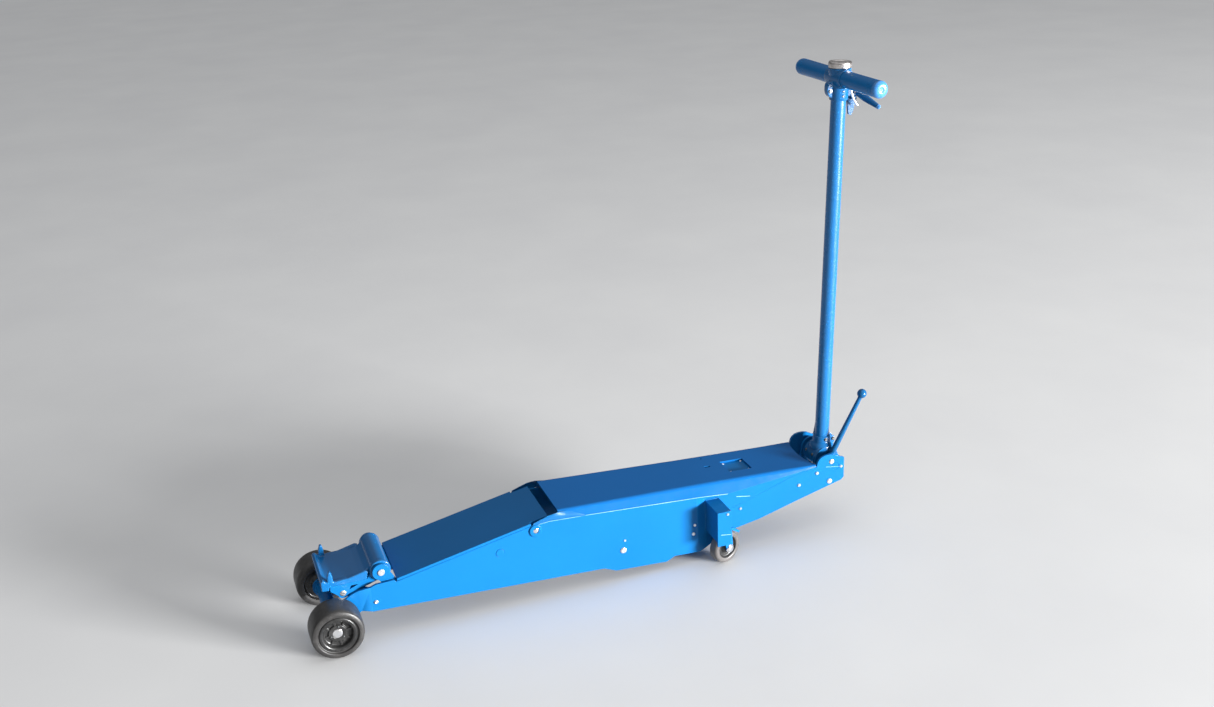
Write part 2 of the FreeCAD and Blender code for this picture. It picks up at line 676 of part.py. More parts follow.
def saddle_carrier():
    """Two cheeks under a bed plate; it hangs on the saddle pins and the link pins."""
    high_y, high_z = D.saddle_pin_y, D.saddle_pin_z
    low_y, low_z = high_y - D.pitch_y, high_z - D.pitch_z
    bar = [(low_y + 8.0, low_z - 11.0), (high_y, high_z - 26.0), (high_y - 29.0, high_z - 4.0),
           (104.0, BED_LOW + 1.0), (86.0, BED_LOW + 1.0), (low_y + 20.0, low_z + 8.0)]
    post = [(low_y - 12.0, low_z - 6.0), (low_y + 14.0, low_z - 6.0), (62.0, BED_LOW + 1.0),
            (4.0, BED_LOW + 1.0), (4.0, 156.0)]
    pieces = []
    for start in (CHEEK, -CHEEK - CHEEK_THICK):
        holes = [(high_y, high_z, 10.0), (low_y, low_z, 9.0)]
        pieces.append(side_shape("cheek_bar", start, CHEEK_THICK, bar,
                                 discs=[(high_y, high_z, D.barrel_radius), (low_y, low_z, 15.0)],
                                 holes=holes))
        pieces.append(side_shape("cheek_post", start, CHEEK_THICK, post, holes=holes[1:]))
    reach = CHEEK + CHEEK_THICK
    pieces.append(level_shape("bed_plate", BED_LOW, BED_TOP - BED_LOW,
                              rectangle(-reach, 4.0, reach, 114.0)))
    place(fused("carrier", pieces), "saddle_carrier")
    pins = [round_bar("link_pin", start, 0.0, 0.0, 9.0, 29.0) for start in (58.0, -87.0)]
    place(grouped("link_pins", pins), "link_front_pins", y=low_y, z=low_z)


def saddle():
    """Cast saddle: dished floor, front apron, side lips, round rear barrel and two horns."""
    inner = CHEEK - 0.5
    outline = [(-20.0, 162.0), (0.0, 160.0), (3.0, BED_TOP), (130.0, BED_TOP), (140.0, 200.0),
               (122.0, 206.0), (106.0, 195.0), (90.0, 190.0), (14.0, 183.0), (-4.0, 186.0),
               (-14.0, 195.0), (-21.0, 190.0)]
    pieces = [side_shape("saddle_casting", -inner, inner * 2.0, outline,
                         discs=[(D.saddle_pin_y, D.saddle_pin_z, D.barrel_radius)])]
    lip = [(-20.0, 162.0), (0.0, 160.0), (3.0, BED_TOP), (108.0, BED_TOP), (114.0, 196.0),
           (104.0, 199.0), (56.0, 187.0), (14.0, 185.0), (-4.0, 188.0), (-14.0, 196.0),
           (-21.0, 190.0)]
    horn = [(-2.0, 180.0), (15.0, 180.0), (14.0, 204.0), (10.0, 219.0), (4.0, 218.0),
            (-1.0, 203.0)]
    for sign in (1.0, -1.0):
        width = D.saddle_half - inner + 1.0
        start = inner - 1.0 if sign > 0 else -1.0 * D.saddle_half
        pieces.append(side_shape("saddle_lip", start, width, lip))
        pieces.append(side_shape("saddle_horn", start, width, horn))
    place(fused("saddle_whole", pieces), "saddle")


def level_links():
    """Cranked bars that keep the saddle level as the arm rises."""
    rear_y, rear_z = D.pivot_y - D.pitch_y, D.pivot_z - D.pitch_z
    front_y, front_z = D.saddle_pin_y - D.pitch_y, D.saddle_pin_z - D.pitch_z
    outline = [(front_y - 4.0, front_z - 15.0), (106.0, 103.0), (262.0, 125.0),
               (rear_y + 6.0, rear_z - 18.0), (rear_y - 6.0, rear_z + 18.0), (256.0, 152.0),
               (116.0, 130.0), (front_y + 8.0, front_z + 14.0)]
    for side, start in (("left", 60.0), ("right", -72.0)):
        body = side_shape("link_bar", start, 12.0, outline,
                          discs=[(rear_y, rear_z, 21.0), (front_y, front_z, 16.0)],
                          holes=[(rear_y, rear_z, D.pivot_radius), (front_y, front_z, 9.6)])
        place(body, "level_link_" + side)


# ---------------------------------------------------------------- casters

CROWN_LOW = 108.0                # underside of the fork's crown
CROWN_TOP = 115.0
RACE_TOP = 121.0                 # swivel race between crown and housing


def caster_housing():
    """Open housing: top, front wall, outer wall and the plate that holds the kingpin."""
    wall, outer = D.box_wall, D.box_outside
    length = D.box_rear - D.box_front
    inner = D.rear_side
    shell = fused("housing_walls", [
        block("roof", inner, D.box_front, D.box_top - wall, outer - inner, length, wall),
        block("front_wall", inner, D.box_front, 95.0, outer - inner, wall, D.box_top - 95.0),
        block("outer_wall", outer - wall, D.box_front, 82.0, wall, length, D.box_top - 82.0),
        block("swivel_plate", inner, D.box_front, RACE_TOP, outer - inner, length, 8.0)])
    kingpin_hole = round_bar("kingpin_hole", D.caster_x, D.caster_y, 100.0, 9.0, 60.0, UPRIGHT)
    strip_out = [(0.0, 1100.0), (D.mid_side, 1100.0), (D.mid_side, BEND_REAR[0]),
                 (D.rear_side, BEND_REAR[1]), (D.rear_side, 1250.0), (0.0, 1250.0)]
    chassis_side = level_shape("housing_side_cut", 0.0, 300.0, strip_out)
    left = cut_from("caster_housing_left", shell,
                    fused("housing_cuts", [kingpin_hole, chassis_side]))
    place(left, "caster_housing_left")
    place(mirrored("caster_housing_right", left), "caster_housing_right", y=D.origin_shift)


def caster_fork():
    """Fork with crown, two cheeks and the race and kingpin that swivel with it."""
    half = D.caster_width / 2.0 + 3.0
    trail, axle_z = D.caster_trail, D.caster_radius
    cheeks = []
    for start in (half, -1.0 * half - 5.0):
        outline = [(-8.0, CROWN_TOP), (trail - 13.0, axle_z), (trail + 13.0, axle_z),
                   (30.0, CROWN_TOP)]
        cheeks.append(side_shape("fork_cheek", start, 5.0, outline,
                                 discs=[(trail, axle_z, 13.0)], holes=[(trail, axle_z, 7.0)]))
    crown = block("crown", -1.0 * half, -9.0, CROWN_LOW, half * 2.0, 39.0,
                  CROWN_TOP - CROWN_LOW)
    hood = side_shape("fork_hood", -1.0 * half, half * 2.0,
                      [(26.0, CROWN_LOW), (36.0, 108.0), (66.0, 88.0), (70.0, 93.0),
                       (40.0, 114.0), (26.0, CROWN_TOP)])
    race = round_bar("race", 0.0, 0.0, CROWN_TOP, 15.5, RACE_TOP - CROWN_TOP - 0.4, UPRIGHT)
    kingpin = round_bar("kingpin", 0.0, 0.0, CROWN_TOP, 9.0 - D.fit, 22.0, UPRIGHT)
    return fused("fork", cheeks + [crown, hood, race, kingpin])


def caster_wheel():
    half, rim = D.caster_width / 2.0, D.caster_radius
    profile = [(-1.0 * half, 7.08), (-1.0 * half, 16.0), (9.0 - half, 20.0), (9.0 - half, 34.0),
               (-1.0 * half, 38.0), (-1.0 * half, rim - 4.0), (4.0 - half, rim),
               (half - 4.0, rim), (half, rim - 4.0), (half, 38.0), (half - 9.0, 34.0),
               (half - 9.0, 20.0), (half, 16.0), (half, 7.08)]
    return turned("caster_turning", profile)


def casters():
    """Both casters: the left one turned out by caster_turn, the right one to match."""
    for side, sign in (("left", 1.0), ("right", -1.0)):
        x = D.caster_x * sign
        angle = D.caster_turn * sign
        turn = turn_about_z(angle.value)
        fork = caster_fork()
        place(fork, "caster_fork_" + side, x=x, y=D.caster_y, turn=turn, angle=caster_angle(sign))
        wheel = caster_wheel()
        across = D.caster_trail.value * math.sin(math.radians(angle.value))
        behind = D.caster_trail.value * math.cos(math.radians(angle.value))
        place(wheel, "caster_wheel_" + side, x=x - across, y=D.caster_y + behind,
              z=D.caster_radius, turn=turn, angle=caster_angle(sign))
        reach = D.caster_width / 2.0 + 8.0
        shank = round_bar("axle_shank", -1.0 * reach, 0.0, 0.0, 7.0, reach * 2.0)
        heads = [round_bar("axle_head", start, 0.0, 0.0, 12.0, 6.0)
                 for start in (reach, -1.0 * reach - 6.0)]
        place(fused("caster_bolt", [shank] + heads), "caster_axle_" + side, x=x - across,
              y=D.caster_y + behind, z=D.caster_radius, turn=turn, angle=caster_angle(sign))


def caster_angle(sign):
    """A rotation stores its turn as a positive angle, so only the left one is bound."""
    return D.caster_turn if sign > 0 else None


# ---------------------------------------------------------------- handle

def handle_bracket():
    """U bracket at the rear with the two round ears."""
    pieces = []
    for start in (64.0, -72.0):
        outline = [(1548.0, 164.0), (1606.0, 170.0), (D.yoke_y + 31.0, D.yoke_z),
                   (D.yoke_y - 31.0, D.yoke_z)]
        pieces.append(side_shape("ear", start, 8.0, outline,
                                 discs=[(D.yoke_y, D.yoke_z, D.ear_radius)],
                                 holes=[(D.yoke_y, D.yoke_z, D.yoke_pin)]))
    pieces.append(block("bracket_base", -72.0, 1545.0, 160.0, 144.0, 50.0, 8.0))
    trim = block("bracket_trim", -100.0, 1500.0, 100.0, 200.0, 200.0, 60.0)
    place(cut_from("bracket", fused("bracket_pieces", pieces), trim), "handle_bracket")
    reach = D.rear_side
    place(round_bar("pivot_bar", 0.0, 0.0, 0.0, D.yoke_pin - D.fit, reach * 2.0),
          "handle_pivot_pin", x=-1.0 * reach, y=D.yoke_y, z=D.yoke_z, turn=ALONG_X)
    between = 64.0
    place(block("tie", 0.0, 0.0, 0.0, between * 2.0, 10.0, 10.0), "rear_tie_bar",
          x=-1.0 * between, y=1616.0, z=168.0)


def on_handle(item, label):
    """Stand a piece drawn from the handle pivot, z along the tube, in its place."""
    place(item, label, y=D.yoke_y, z=D.yoke_z, turn=tilt(-D.handle_lean.value))


def handle_yoke():
    """Two round cheeks and the socket that the handle tube is clamped in."""
    pieces = []
    for start in (28.0, -38.0):
        pieces.append(side_shape("yoke_cheek", start, 10.0, (), discs=[(0.0, 0.0, 42.0)]))
    pieces.append(block("yoke_bridge", -38.0, -30.0, 18.0, 76.0, 60.0, 18.0))
    pieces.append(round_bar("yoke_socket", 0.0, 0.0, 18.0, 29.0, 42.0, UPRIGHT))
    body = fused("yoke_solid", pieces)
    bore = round_bar("socket_bore", 0.0, 0.0, 26.0, D.tube_radius, 60.0, UPRIGHT)
    pin_hole = round_bar("yoke_hole", -60.0, 0.0, 0.0, D.yoke_pin, 120.0)
    roller_hole = round_bar("roller_hole", -60.0, 0.0, -32.0, 5.0, 120.0)
    on_handle(cut_from("yoke", body, fused("yoke_cuts", [bore, pin_hole, roller_hole])),
              "handle_yoke")
    roller = fused("roller_parts", [round_bar("roller_drum", -24.0, 0.0, -32.0, 11.0, 48.0),
                                    round_bar("roller_axle", -38.0, 0.0, -32.0, 5.0, 76.0)])
    on_handle(roller, "pump_roller")


def handle_tube():
    start, end = 26.0, D.bar_height - 30.0
    outer = round_bar("tube_outside", 0.0, 0.0, start, D.tube_radius, end - start, UPRIGHT)
    inner = round_bar("tube_inside", 0.0, 0.0, start - 1.0, D.tube_radius - D.tube_wall,
                      end - start + 2.0, UPRIGHT)
    on_handle(cut_from("tube", outer, inner), "handle_tube")


def handle_head():
    """T-head casting with its clamp lug, the T-bar and the caps on its ends."""
    mid = D.bar_height
    sleeve = round_bar("head_sleeve", 0.0, 0.0, mid - 62.0, 27.0, 88.0, UPRIGHT)
    hub = round_bar("head_hub", -42.0, 0.0, mid, 27.5, 84.0)
    lug = side_shape("head_lug", -9.0, 18.0, [(-40.0, mid - 46.0), (-20.0, mid - 60.0),
                                              (-20.0, mid), (-40.0, mid - 10.0)])
    boss = round_bar("head_boss", 0.0, 0.0, mid + 10.0, 31.0, 18.0, UPRIGHT)
    bore = round_bar("head_bore", 0.0, 0.0, mid - 63.0, D.tube_radius, 33.0, UPRIGHT)
    rod_bore = round_bar("head_rod_bore", 0.0, 0.0, mid - 40.0, 6.5, 90.0, UPRIGHT)
    bar_bore = round_bar("head_bar_bore", -60.0, 0.0, mid, D.bar_radius, 120.0)
    core = round_bar("head_core", -16.0, 0.0, mid, D.bar_radius, 32.0)
    solid = cut_from("head_open", fused("head_solid", [sleeve, hub, lug, boss]), bar_bore)
    whole = cut_from("head", fused("head_with_core", [solid, core]),
                     fused("head_bores", [bore, rod_bore]))
    on_handle(whole, "t_head")
    cap = 16.0
    grips, caps = [], []
    for sign in (1.0, -1.0):
        length = D.bar_half - cap - 16.0
        start = 16.0 if sign > 0 else -1.0 * (D.bar_half - cap)
        outer = round_bar("grip", start, 0.0, mid, D.bar_radius, length)
        inner = round_bar("grip_bore", start, 0.0, mid, D.bar_radius - 3.5, length)
        grips.append(cut_from("grip_tube", outer, inner))
        profile = [(0.0, 0.0), (0.0, D.bar_radius), (4.0, D.bar_radius - 0.4),
                   (10.0, D.bar_radius - 4.5), (14.5, D.bar_radius - 12.0), (cap, 0.0)]
        end = turned("grip_cap", profile)
        spin = UPRIGHT if sign > 0 else turn_about_z(180)
        set_place(end, (D.bar_half - cap) * sign, 0.0, mid, spin)
        caps.append(end)
    on_handle(grouped("grips", grips), "t_bar")
    on_handle(grouped("grip_caps", caps), "t_bar_caps")


def release_knob():
    """Knurled knob on the T-head, and the rod that runs down inside the tube."""
    mid = D.bar_height
    low = mid + 28.5
    profile = [(low, 0.0), (low, 31.0), (low + 3.0, 33.0), (low + 13.0, 34.0),
               (low + 17.0, 32.0), (low + 18.5, 26.0), (low + 18.5, 0.0)]
    on_handle(turned("knob_turning", profile, "Z"), "release_knob")
    on_handle(round_rod(mid), "release_rod")


def round_rod(mid):
    """The rod is a group of one bar, so that its own start point is kept."""
    return grouped("rod_group", [round_bar("rod_bar", 0.0, 0.0, 40.0, 6.0, mid - 11.5, UPRIGHT)])


def trigger():
    """Bracket blade behind the head, bright lock rod beside it, and the squeeze lever."""
    mid = D.bar_height
    rear = [(54.0, mid - 66.0), (47.0, mid - 28.0)]
    outline = [(27.0, mid - 24.0), (27.0, mid - 60.0), (34.0, mid - 108.0), (42.0, mid - 112.0),
               (49.0, mid - 98.0)] + rear + [(38.0, mid - 22.0)]
    blade = side_shape("blade", -4.0, 8.0, outline)
    lug = block("trigger_lug", 3.8, 40.0, mid - 64.0, 15.2, 9.0, 9.0)
    pin = round_bar("trigger_pin", 0.0, 0.0, 0.0, 2.5 - D.fit, 30.0, UPRIGHT)
    pin.Placement = trigger_pin_place(mid)
    on_handle(fused("bracket_parts", [blade, lug, pin]), "trigger_bracket")
    rod = side_shape("lock_rod_bar", -3.5, 7.0,
                     list(reversed(rear)) + [(61.0, mid - 84.0), (69.0, mid - 80.0),
                                             (55.0, mid - 28.0)])
    on_handle(rod, "lock_rod")
    lever = new_body("lever_sketch")
    sketch = new_sketch(lever, "XY_Plane", -4.0)
    draw_polygon(sketch, [(0.0, -9.0), (30.0, -11.0), (88.0, -7.0), (94.0, 0.0), (88.0, 7.0),
                          (30.0, 11.0), (0.0, 9.0), (-7.0, 0.0)])
    pad(lever, sketch, 8.0)
    lever.Placement = trigger_place(mid)
    hole = round_bar("trigger_hole", 0.0, 0.0, 0.0, 2.5, 26.0, UPRIGHT)
    hole.Placement = trigger_pin_place(mid)
    on_handle(cut_from("trigger_solid", lever, hole), "trigger_lever")


def trigger_directions():
    """The lever's own direction, and its hinge axis square to the squeeze."""
    along = FreeCAD.Vector(82.0, 36.0, -38.0).normalize()
    squeeze = FreeCAD.Vector(0.0, -0.75, 0.66)
    return along, along.cross(squeeze).normalize()


def trigger_root(mid):
    return FreeCAD.Vector(14.0, 55.0, mid.value - 46.0)


def trigger_place(mid):
    along, axis = trigger_directions()
    down = axis.negative()
    rotation = FreeCAD.Rotation(along, down, along.cross(down), "XYZ")
    return FreeCAD.Placement(trigger_root(mid), rotation)


def trigger_pin_place(mid):
    along, axis = trigger_directions()
    rotation = FreeCAD.Rotation(along, axis.cross(along), axis, "XYZ")
    return FreeCAD.Placement(trigger_root(mid) - axis * 13.0, rotation)


def control_levers():
    """Two ball-ended levers on the handle pivot pin, one each side of the yoke."""
    for label, sign, lean in (("lowering_lever", 1.0, D.near_lean),
                              ("handle_lock_lever", -1.0, D.far_lean)):
        x = D.lever_x * sign
        hub = round_bar("lever_hub", x - 8.0, 0.0, 0.0, 20.0, 16.0)
        rod = doc.addObject("Part::Cone", "lever_rod")
        rod.Radius1 = 9.5
        rod.Radius2 = 6.5
        bind(rod, "Height", D.lever_length - 14.0)
        set_place(rod, x, 0.0, 14.0, UPRIGHT)
        ball = doc.addObject("Part::Sphere", "lever_ball")
        bind(ball, "Radius", D.ball_radius)
        set_place(ball, x, 0.0, D.lever_length, UPRIGHT)
        hole = round_bar("lever_hole", x - 30.0, 0.0, 0.0, D.yoke_pin, 60.0)
        whole = cut_from(label, fused("lever_solid", [hub, rod, ball]), hole)
        place(whole, label, y=D.yoke_y, z=D.yoke_z, turn=tilt(-lean.value))


# ---------------------------------------------------------------- build and write

def build():
    fill_sheet()
    side_plate()
    rear_cover()
    access_cover()
    front_axle()
    front_wheel()
    shafts()
    frame_bolts()
    hydraulics()
    ram()
    pump_plunger()
    arm_top_plate()
    arm_web(1.0, "left")
    arm_web(-1.0, "right")
    arm_crank()
    saddle_pins()
    saddle_carrier()
    saddle()
    level_links()
    caster_housing()
    casters()
    handle_bracket()
    handle_yoke()
    handle_tube()
    handle_head()
    release_knob()
    trigger()
    control_levers()
    doc.recompute()


def check_and_write():
    os.makedirs("parts", exist_ok=True)
    for item in doc.Objects:
        if "Invalid" in item.State or "Error" in item.State:
            raise RuntimeError("%s failed: %s" % (item.Name, item.State))
    for item in finished:
        if item.Shape.isNull() or not item.Shape.isValid():
            raise RuntimeError("%s has no valid shape" % item.Label)
    for item in finished:
        item.Shape.exportStep("parts/%s.step" % item.Label)
        print(item.Label, len(item.Shape.Solids), round(item.Shape.Volume / 1000.0, 1), "cm3")


build()
check_and_write()
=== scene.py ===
"""Long-chassis trolley jack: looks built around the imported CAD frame, in metres."""

import json
import math

import bmesh
import bpy
from mathutils import Matrix, Vector

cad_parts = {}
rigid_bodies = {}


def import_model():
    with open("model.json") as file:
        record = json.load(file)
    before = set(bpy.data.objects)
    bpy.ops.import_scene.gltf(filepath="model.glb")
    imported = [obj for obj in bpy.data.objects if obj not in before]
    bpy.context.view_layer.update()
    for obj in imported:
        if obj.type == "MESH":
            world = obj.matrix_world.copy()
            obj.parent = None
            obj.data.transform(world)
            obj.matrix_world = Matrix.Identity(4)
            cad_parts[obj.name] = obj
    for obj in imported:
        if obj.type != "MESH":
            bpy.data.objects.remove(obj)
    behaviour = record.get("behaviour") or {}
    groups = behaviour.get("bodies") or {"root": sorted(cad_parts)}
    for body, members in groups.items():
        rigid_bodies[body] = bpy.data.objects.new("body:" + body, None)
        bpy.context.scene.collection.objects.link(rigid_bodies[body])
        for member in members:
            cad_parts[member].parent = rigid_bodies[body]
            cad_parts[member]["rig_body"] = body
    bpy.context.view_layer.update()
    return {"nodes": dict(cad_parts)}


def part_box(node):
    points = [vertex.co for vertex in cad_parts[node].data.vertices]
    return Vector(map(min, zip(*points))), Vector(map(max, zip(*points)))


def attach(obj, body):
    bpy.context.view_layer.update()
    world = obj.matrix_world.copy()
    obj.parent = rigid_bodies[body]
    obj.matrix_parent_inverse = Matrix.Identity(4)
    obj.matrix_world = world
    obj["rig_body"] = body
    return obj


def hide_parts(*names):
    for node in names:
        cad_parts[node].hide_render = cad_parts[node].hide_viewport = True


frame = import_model()

MM = 0.001
LEFT = Vector((1.0, 0.0, 0.0))
UP = Vector((0.0, 0.0, 1.0))
SIDES = (("left", 1.0), ("right", -1.0))
scene = bpy.context.scene


# ---------------------------------------- places from the frame

def middle(node):
    """Centre of a CAD node's box."""
    low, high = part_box(node)
    return (low + high) / 2.0


def size(node):
    """Lengths of a CAD node's box along x, y and z."""
    low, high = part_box(node)
    return high - low


AXLE = middle("front_axle")
HANDLE = middle("handle_pivot_pin")
HANDLE_LEAN = math.radians(1.68)      # the upright handle leans this far to the rear
PLATE = 95.0                          # from the middle to the rear of a side plate, in mm
BOX = 188.0                           # and to the outer face of a caster box
ARM_PIVOT = (602.5, 226.5)            # back from the front axle, and height


def body_of(node):
    """The body that a CAD node moves with."""
    return frame["nodes"][node]["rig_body"]


def at(x, y, z):
    """A point given in millimetres: y from the front axle, z from the floor."""
    return Vector((x * MM, AXLE.y + y * MM, z * MM))


def on_handle(x, y, z):
    """A point given in millimetres from the handle pivot, z along the tube."""
    return HANDLE + Matrix.Rotation(-HANDLE_LEAN, 3, "X") @ Vector((x, y, z)) * MM


# ---------------------------------------- materials

FLAT_COSINE = 0.995        # between the true and the rounded normal where a face is still flat
EDGE_COSINE = 0.86         # and where it is fully an edge
CHIP_GREY = (0.34, 0.36, 0.40)


class Nodes:
    """A material's node tree, with short calls for the nodes used here."""

    def __init__(self, name):
        self.material = bpy.data.materials.new(name)
        self.material.use_nodes = True
        self.tree = self.material.node_tree
        self.shader = self.tree.nodes["Principled BSDF"]
        place = self.add("ShaderNodeTexCoord")
        self.place = place.outputs["Object"]

    def feed(self, socket, value):
        """Give a socket a number, a colour or another node's output."""
        if isinstance(value, tuple):
            socket.default_value = (*value, 1.0)
        elif isinstance(value, float):
            socket.default_value = value
        else:
            self.tree.links.new(value, socket)

    def add(self, kind, sockets=(), **values):
        """A new node with its properties set, and (socket, value) pairs fed."""
        node = self.tree.nodes.new(kind)
        for key, value in values.items():
            setattr(node, key, value)
        for key, value in sockets:
            self.feed(node.inputs[key], value)
        return node

    def noise(self, scale, detail=3.0, rough=0.55, stretch=None):
        """Noise from 0 to 1 over the object, stretched along its axes if asked."""
        source = self.place
        if stretch:
            mapping = self.add("ShaderNodeMapping", (("Vector", source),))
            mapping.inputs["Scale"].default_value = stretch
            source = mapping.outputs["Vector"]
        node = self.add("ShaderNodeTexNoise", (("Vector", source), ("Scale", scale),
                                               ("Detail", detail), ("Roughness", rough)))
        return node.outputs["Fac"]

    def span(self, value, low, high, to_low=0.0, to_high=1.0):
        """The stretch from low to high mapped onto another one, held at its ends."""
        node = self.add("ShaderNodeMapRange", (("Value", value), ("From Min", low),
                                               ("From Max", high), ("To Min", to_low),
                                               ("To Max", to_high)))
        return node.outputs["Result"]

    def product(self, first, second):
        """Two values multiplied, each an output or a plain number."""
        node = self.add("ShaderNodeMath", ((0, first), (1, second)), operation="MULTIPLY")
        return node.outputs[0]

    def mix(self, factor, first, second):
        """A colour between two others, each an output or a plain colour."""
        node = self.add("ShaderNodeMix", ((0, factor), (6, first), (7, second)), data_type="RGBA")
        return node.outputs[2]

    def edges(self, radius):
        """1 along sharp edges and 0 on flat faces."""
        rounded = self.add("ShaderNodeBevel", (("Radius", radius),), samples=4)
        true = self.add("ShaderNodeNewGeometry")
        dot = self.add("ShaderNodeVectorMath", ((0, rounded.outputs["Normal"]),
                                                (1, true.outputs["True Normal"])),
                       operation="DOT_PRODUCT")
        return self.span(dot.outputs["Value"], FLAT_COSINE, EDGE_COSINE)

    def bump(self, height, depth, strength):
        """Relief from a height value, its depth in metres."""
        node = self.add("ShaderNodeBump", (("Height", height), ("Distance", depth),
                                           ("Strength", strength)))
        self.set(Normal=node.outputs["Normal"])

    def set(self, **values):
        """Feed the shader's sockets, each by its name."""
        for key, value in values.items():
            self.feed(self.shader.inputs[key.replace("_", " ")], value)


def paint(name, deep, fresh, worn_and_lit_colour, chip=0.66, wear_and_sheen=0.45, gloss=(0.17, 0.25), shine=0.12,
          coat=0.0):
    """Enamel: slow colour drift, edges worn and painted lighter as a highlight, small chips, a little
    orange peel.
    """
    n = Nodes(name)
    drift = n.span(n.noise(3.2, detail=4.0), 0.3, 0.7)
    body = n.mix(drift, deep, fresh)
    edge = n.edges(1.6 * MM)
    broken = n.span(n.noise(140.0, detail=5.0, rough=0.7), chip, chip + 0.06)
    chips = n.product(edge, broken)
    # edges lightened towards the edge colour: partly paint wear, partly a painted highlight
    worn_and_lit_edges = n.product(edge, n.span(n.noise(24.0), 0.35, 0.75, 0.15, wear_and_sheen))
    colour = n.mix(worn_and_lit_edges, body, worn_and_lit_colour)
    colour = n.mix(chips, colour, CHIP_GREY)
    n.set(Base_Color=colour, Roughness=n.span(n.noise(38.0, detail=4.0), 0.3, 0.7, *gloss),
          Metallic=n.product(chips, 0.8), Specular_IOR_Level=shine, Coat_Weight=coat,
          Coat_Roughness=0.10)
    n.bump(n.noise(300.0, detail=2.0), 0.04 * MM, 0.2)
    return n.material


def metal(name, dark, bright, rough, grain=(1.0, 1.0, 1.0)):
    """Bare or plated metal with fine handling marks along its grain."""
    n = Nodes(name)
    scale = 90.0
    tone = n.span(n.noise(scale, 5.0, 0.65, grain), 0.3, 0.7)
    stain = n.span(n.noise(14.0), 0.45, 0.8)
    colour = n.mix(tone, dark, bright)
    colour = n.mix(n.product(stain, 0.35), colour, dark)
    n.set(Base_Color=colour, Metallic=1.0,
          Roughness=n.span(n.noise(scale * 1.7, 4.0, 0.6, grain), 0.3, 0.7, *rough))
    n.bump(n.noise(scale * 6.0, 3.0, 0.6, grain), 0.05 * MM, 0.4)
    return n.material


def moulded(name, dark, pale, rough, dust_and_sheen):
    """Rubber or polyurethane, dusty in patches, and lighter along its edges as a painted highlight.
    """
    n = Nodes(name)
    tone = n.span(n.noise(22.0, detail=4.0), 0.3, 0.7)
    colour = n.mix(tone, dark, pale)
    film = n.product(n.span(n.noise(60.0, detail=6.0, rough=0.7), 0.48, 0.75), 0.35)
    colour = n.mix(film, colour, dust_and_sheen)
    # edges mixed towards the lighter colour: a painted highlight on shoulders and rims
    colour = n.mix(n.product(n.edges(1.5 * MM), 0.5), colour, dust_and_sheen)
    n.set(Base_Color=colour, Roughness=n.span(n.noise(75.0, detail=4.0), 0.3, 0.7, *rough))
    n.bump(n.noise(700.0), 0.15 * MM, 0.5)
    return n.material


BLUE = paint("blue_enamel", (0.005, 0.118, 0.330), (0.006, 0.130, 0.365), (0.03, 0.26, 0.60))
# a darker copy of the enamel for the rear cover: painted shade on its top and flange
SHADED_COVER_BLUE = paint("blue_enamel_cover_shaded", (0.004, 0.094, 0.300), (0.005, 0.104, 0.330),
                   (0.03, 0.24, 0.58))
GLOSS_BLUE = paint("blue_enamel_tubes", (0.005, 0.112, 0.310), (0.006, 0.124, 0.345),
                   (0.03, 0.26, 0.60), gloss=(0.22, 0.30), shine=0.5)
# a darker copy of the enamel for the levers and trigger parts: painted shade
SHADED_BLUE = paint("blue_enamel_levers_shaded", (0.004, 0.070, 0.180), (0.005, 0.085, 0.225),
                  (0.03, 0.24, 0.58), chip=0.62, wear_and_sheen=0.6, gloss=(0.20, 0.30), shine=0.3)
CAST_BLUE = paint("blue_enamel_cast", (0.005, 0.095, 0.265), (0.008, 0.120, 0.330),
                  (0.06, 0.34, 0.70), chip=0.60, wear_and_sheen=0.8, gloss=(0.14, 0.24), shine=0.3,
                  coat=0.15)
# a lighter, mottled copy of the enamel for caps, lever tip and fork ribs: worn paint and a painted
# highlight
HIGHLIT_WORN_BLUE = paint("blue_enamel_worn_highlit", (0.010, 0.120, 0.360), (0.08, 0.26, 0.56),
                    (0.35, 0.55, 0.85), chip=0.50, wear_and_sheen=0.9, gloss=(0.16, 0.30), shine=0.3,
                    coat=0.10)
# a much lighter enamel for the seam beads: a painted highlight along the seams
SEAM_HIGHLIGHT_BLUE = paint("blue_enamel_seams_highlight", (0.06, 0.24, 0.50), (0.18, 0.40, 0.66),
                  (0.42, 0.62, 0.86), chip=0.60, wear_and_sheen=0.9, gloss=(0.20, 0.34), shine=0.3)
BRIGHT = metal("bright_zinc", (0.78, 0.79, 0.81), (0.95, 0.955, 0.96), (0.26, 0.42))
CHROME = metal("chrome_plate", (0.80, 0.80, 0.81), (0.97, 0.97, 0.98), (0.08, 0.18))
ROD_CHROME = metal("hard_chrome", (0.74, 0.75, 0.77), (0.95, 0.95, 0.96), (0.04, 0.10),
                   grain=(0.2, 1.0, 1.0))
KNOB = metal("knob_nickel", (0.42, 0.39, 0.375), (0.74, 0.70, 0.68), (0.26, 0.40))
STEEL = metal("dark_steel", (0.10, 0.105, 0.11), (0.24, 0.245, 0.25), (0.32, 0.50))
TYRE = moulded("front_tyre", (0.018, 0.017, 0.017), (0.033, 0.032, 0.031), (0.34, 0.46),
              (0.10, 0.097, 0.094))
HUB = moulded("wheel_centre", (0.009, 0.009, 0.009), (0.020, 0.020, 0.020), (0.24, 0.36),
             (0.09, 0.088, 0.086))
TREAD = moulded("caster_tread", (0.075, 0.070, 0.068), (0.115, 0.107, 0.104), (0.30, 0.44),
                (0.08, 0.075, 0.07))
SLOTS = {BRIGHT: "bright_steel", CHROME: "bright_steel", STEEL: "bright_steel",
         KNOB: "knob_chrome"}        # and blue_paint for the rest


# ---------------------------------------- mesh helpers

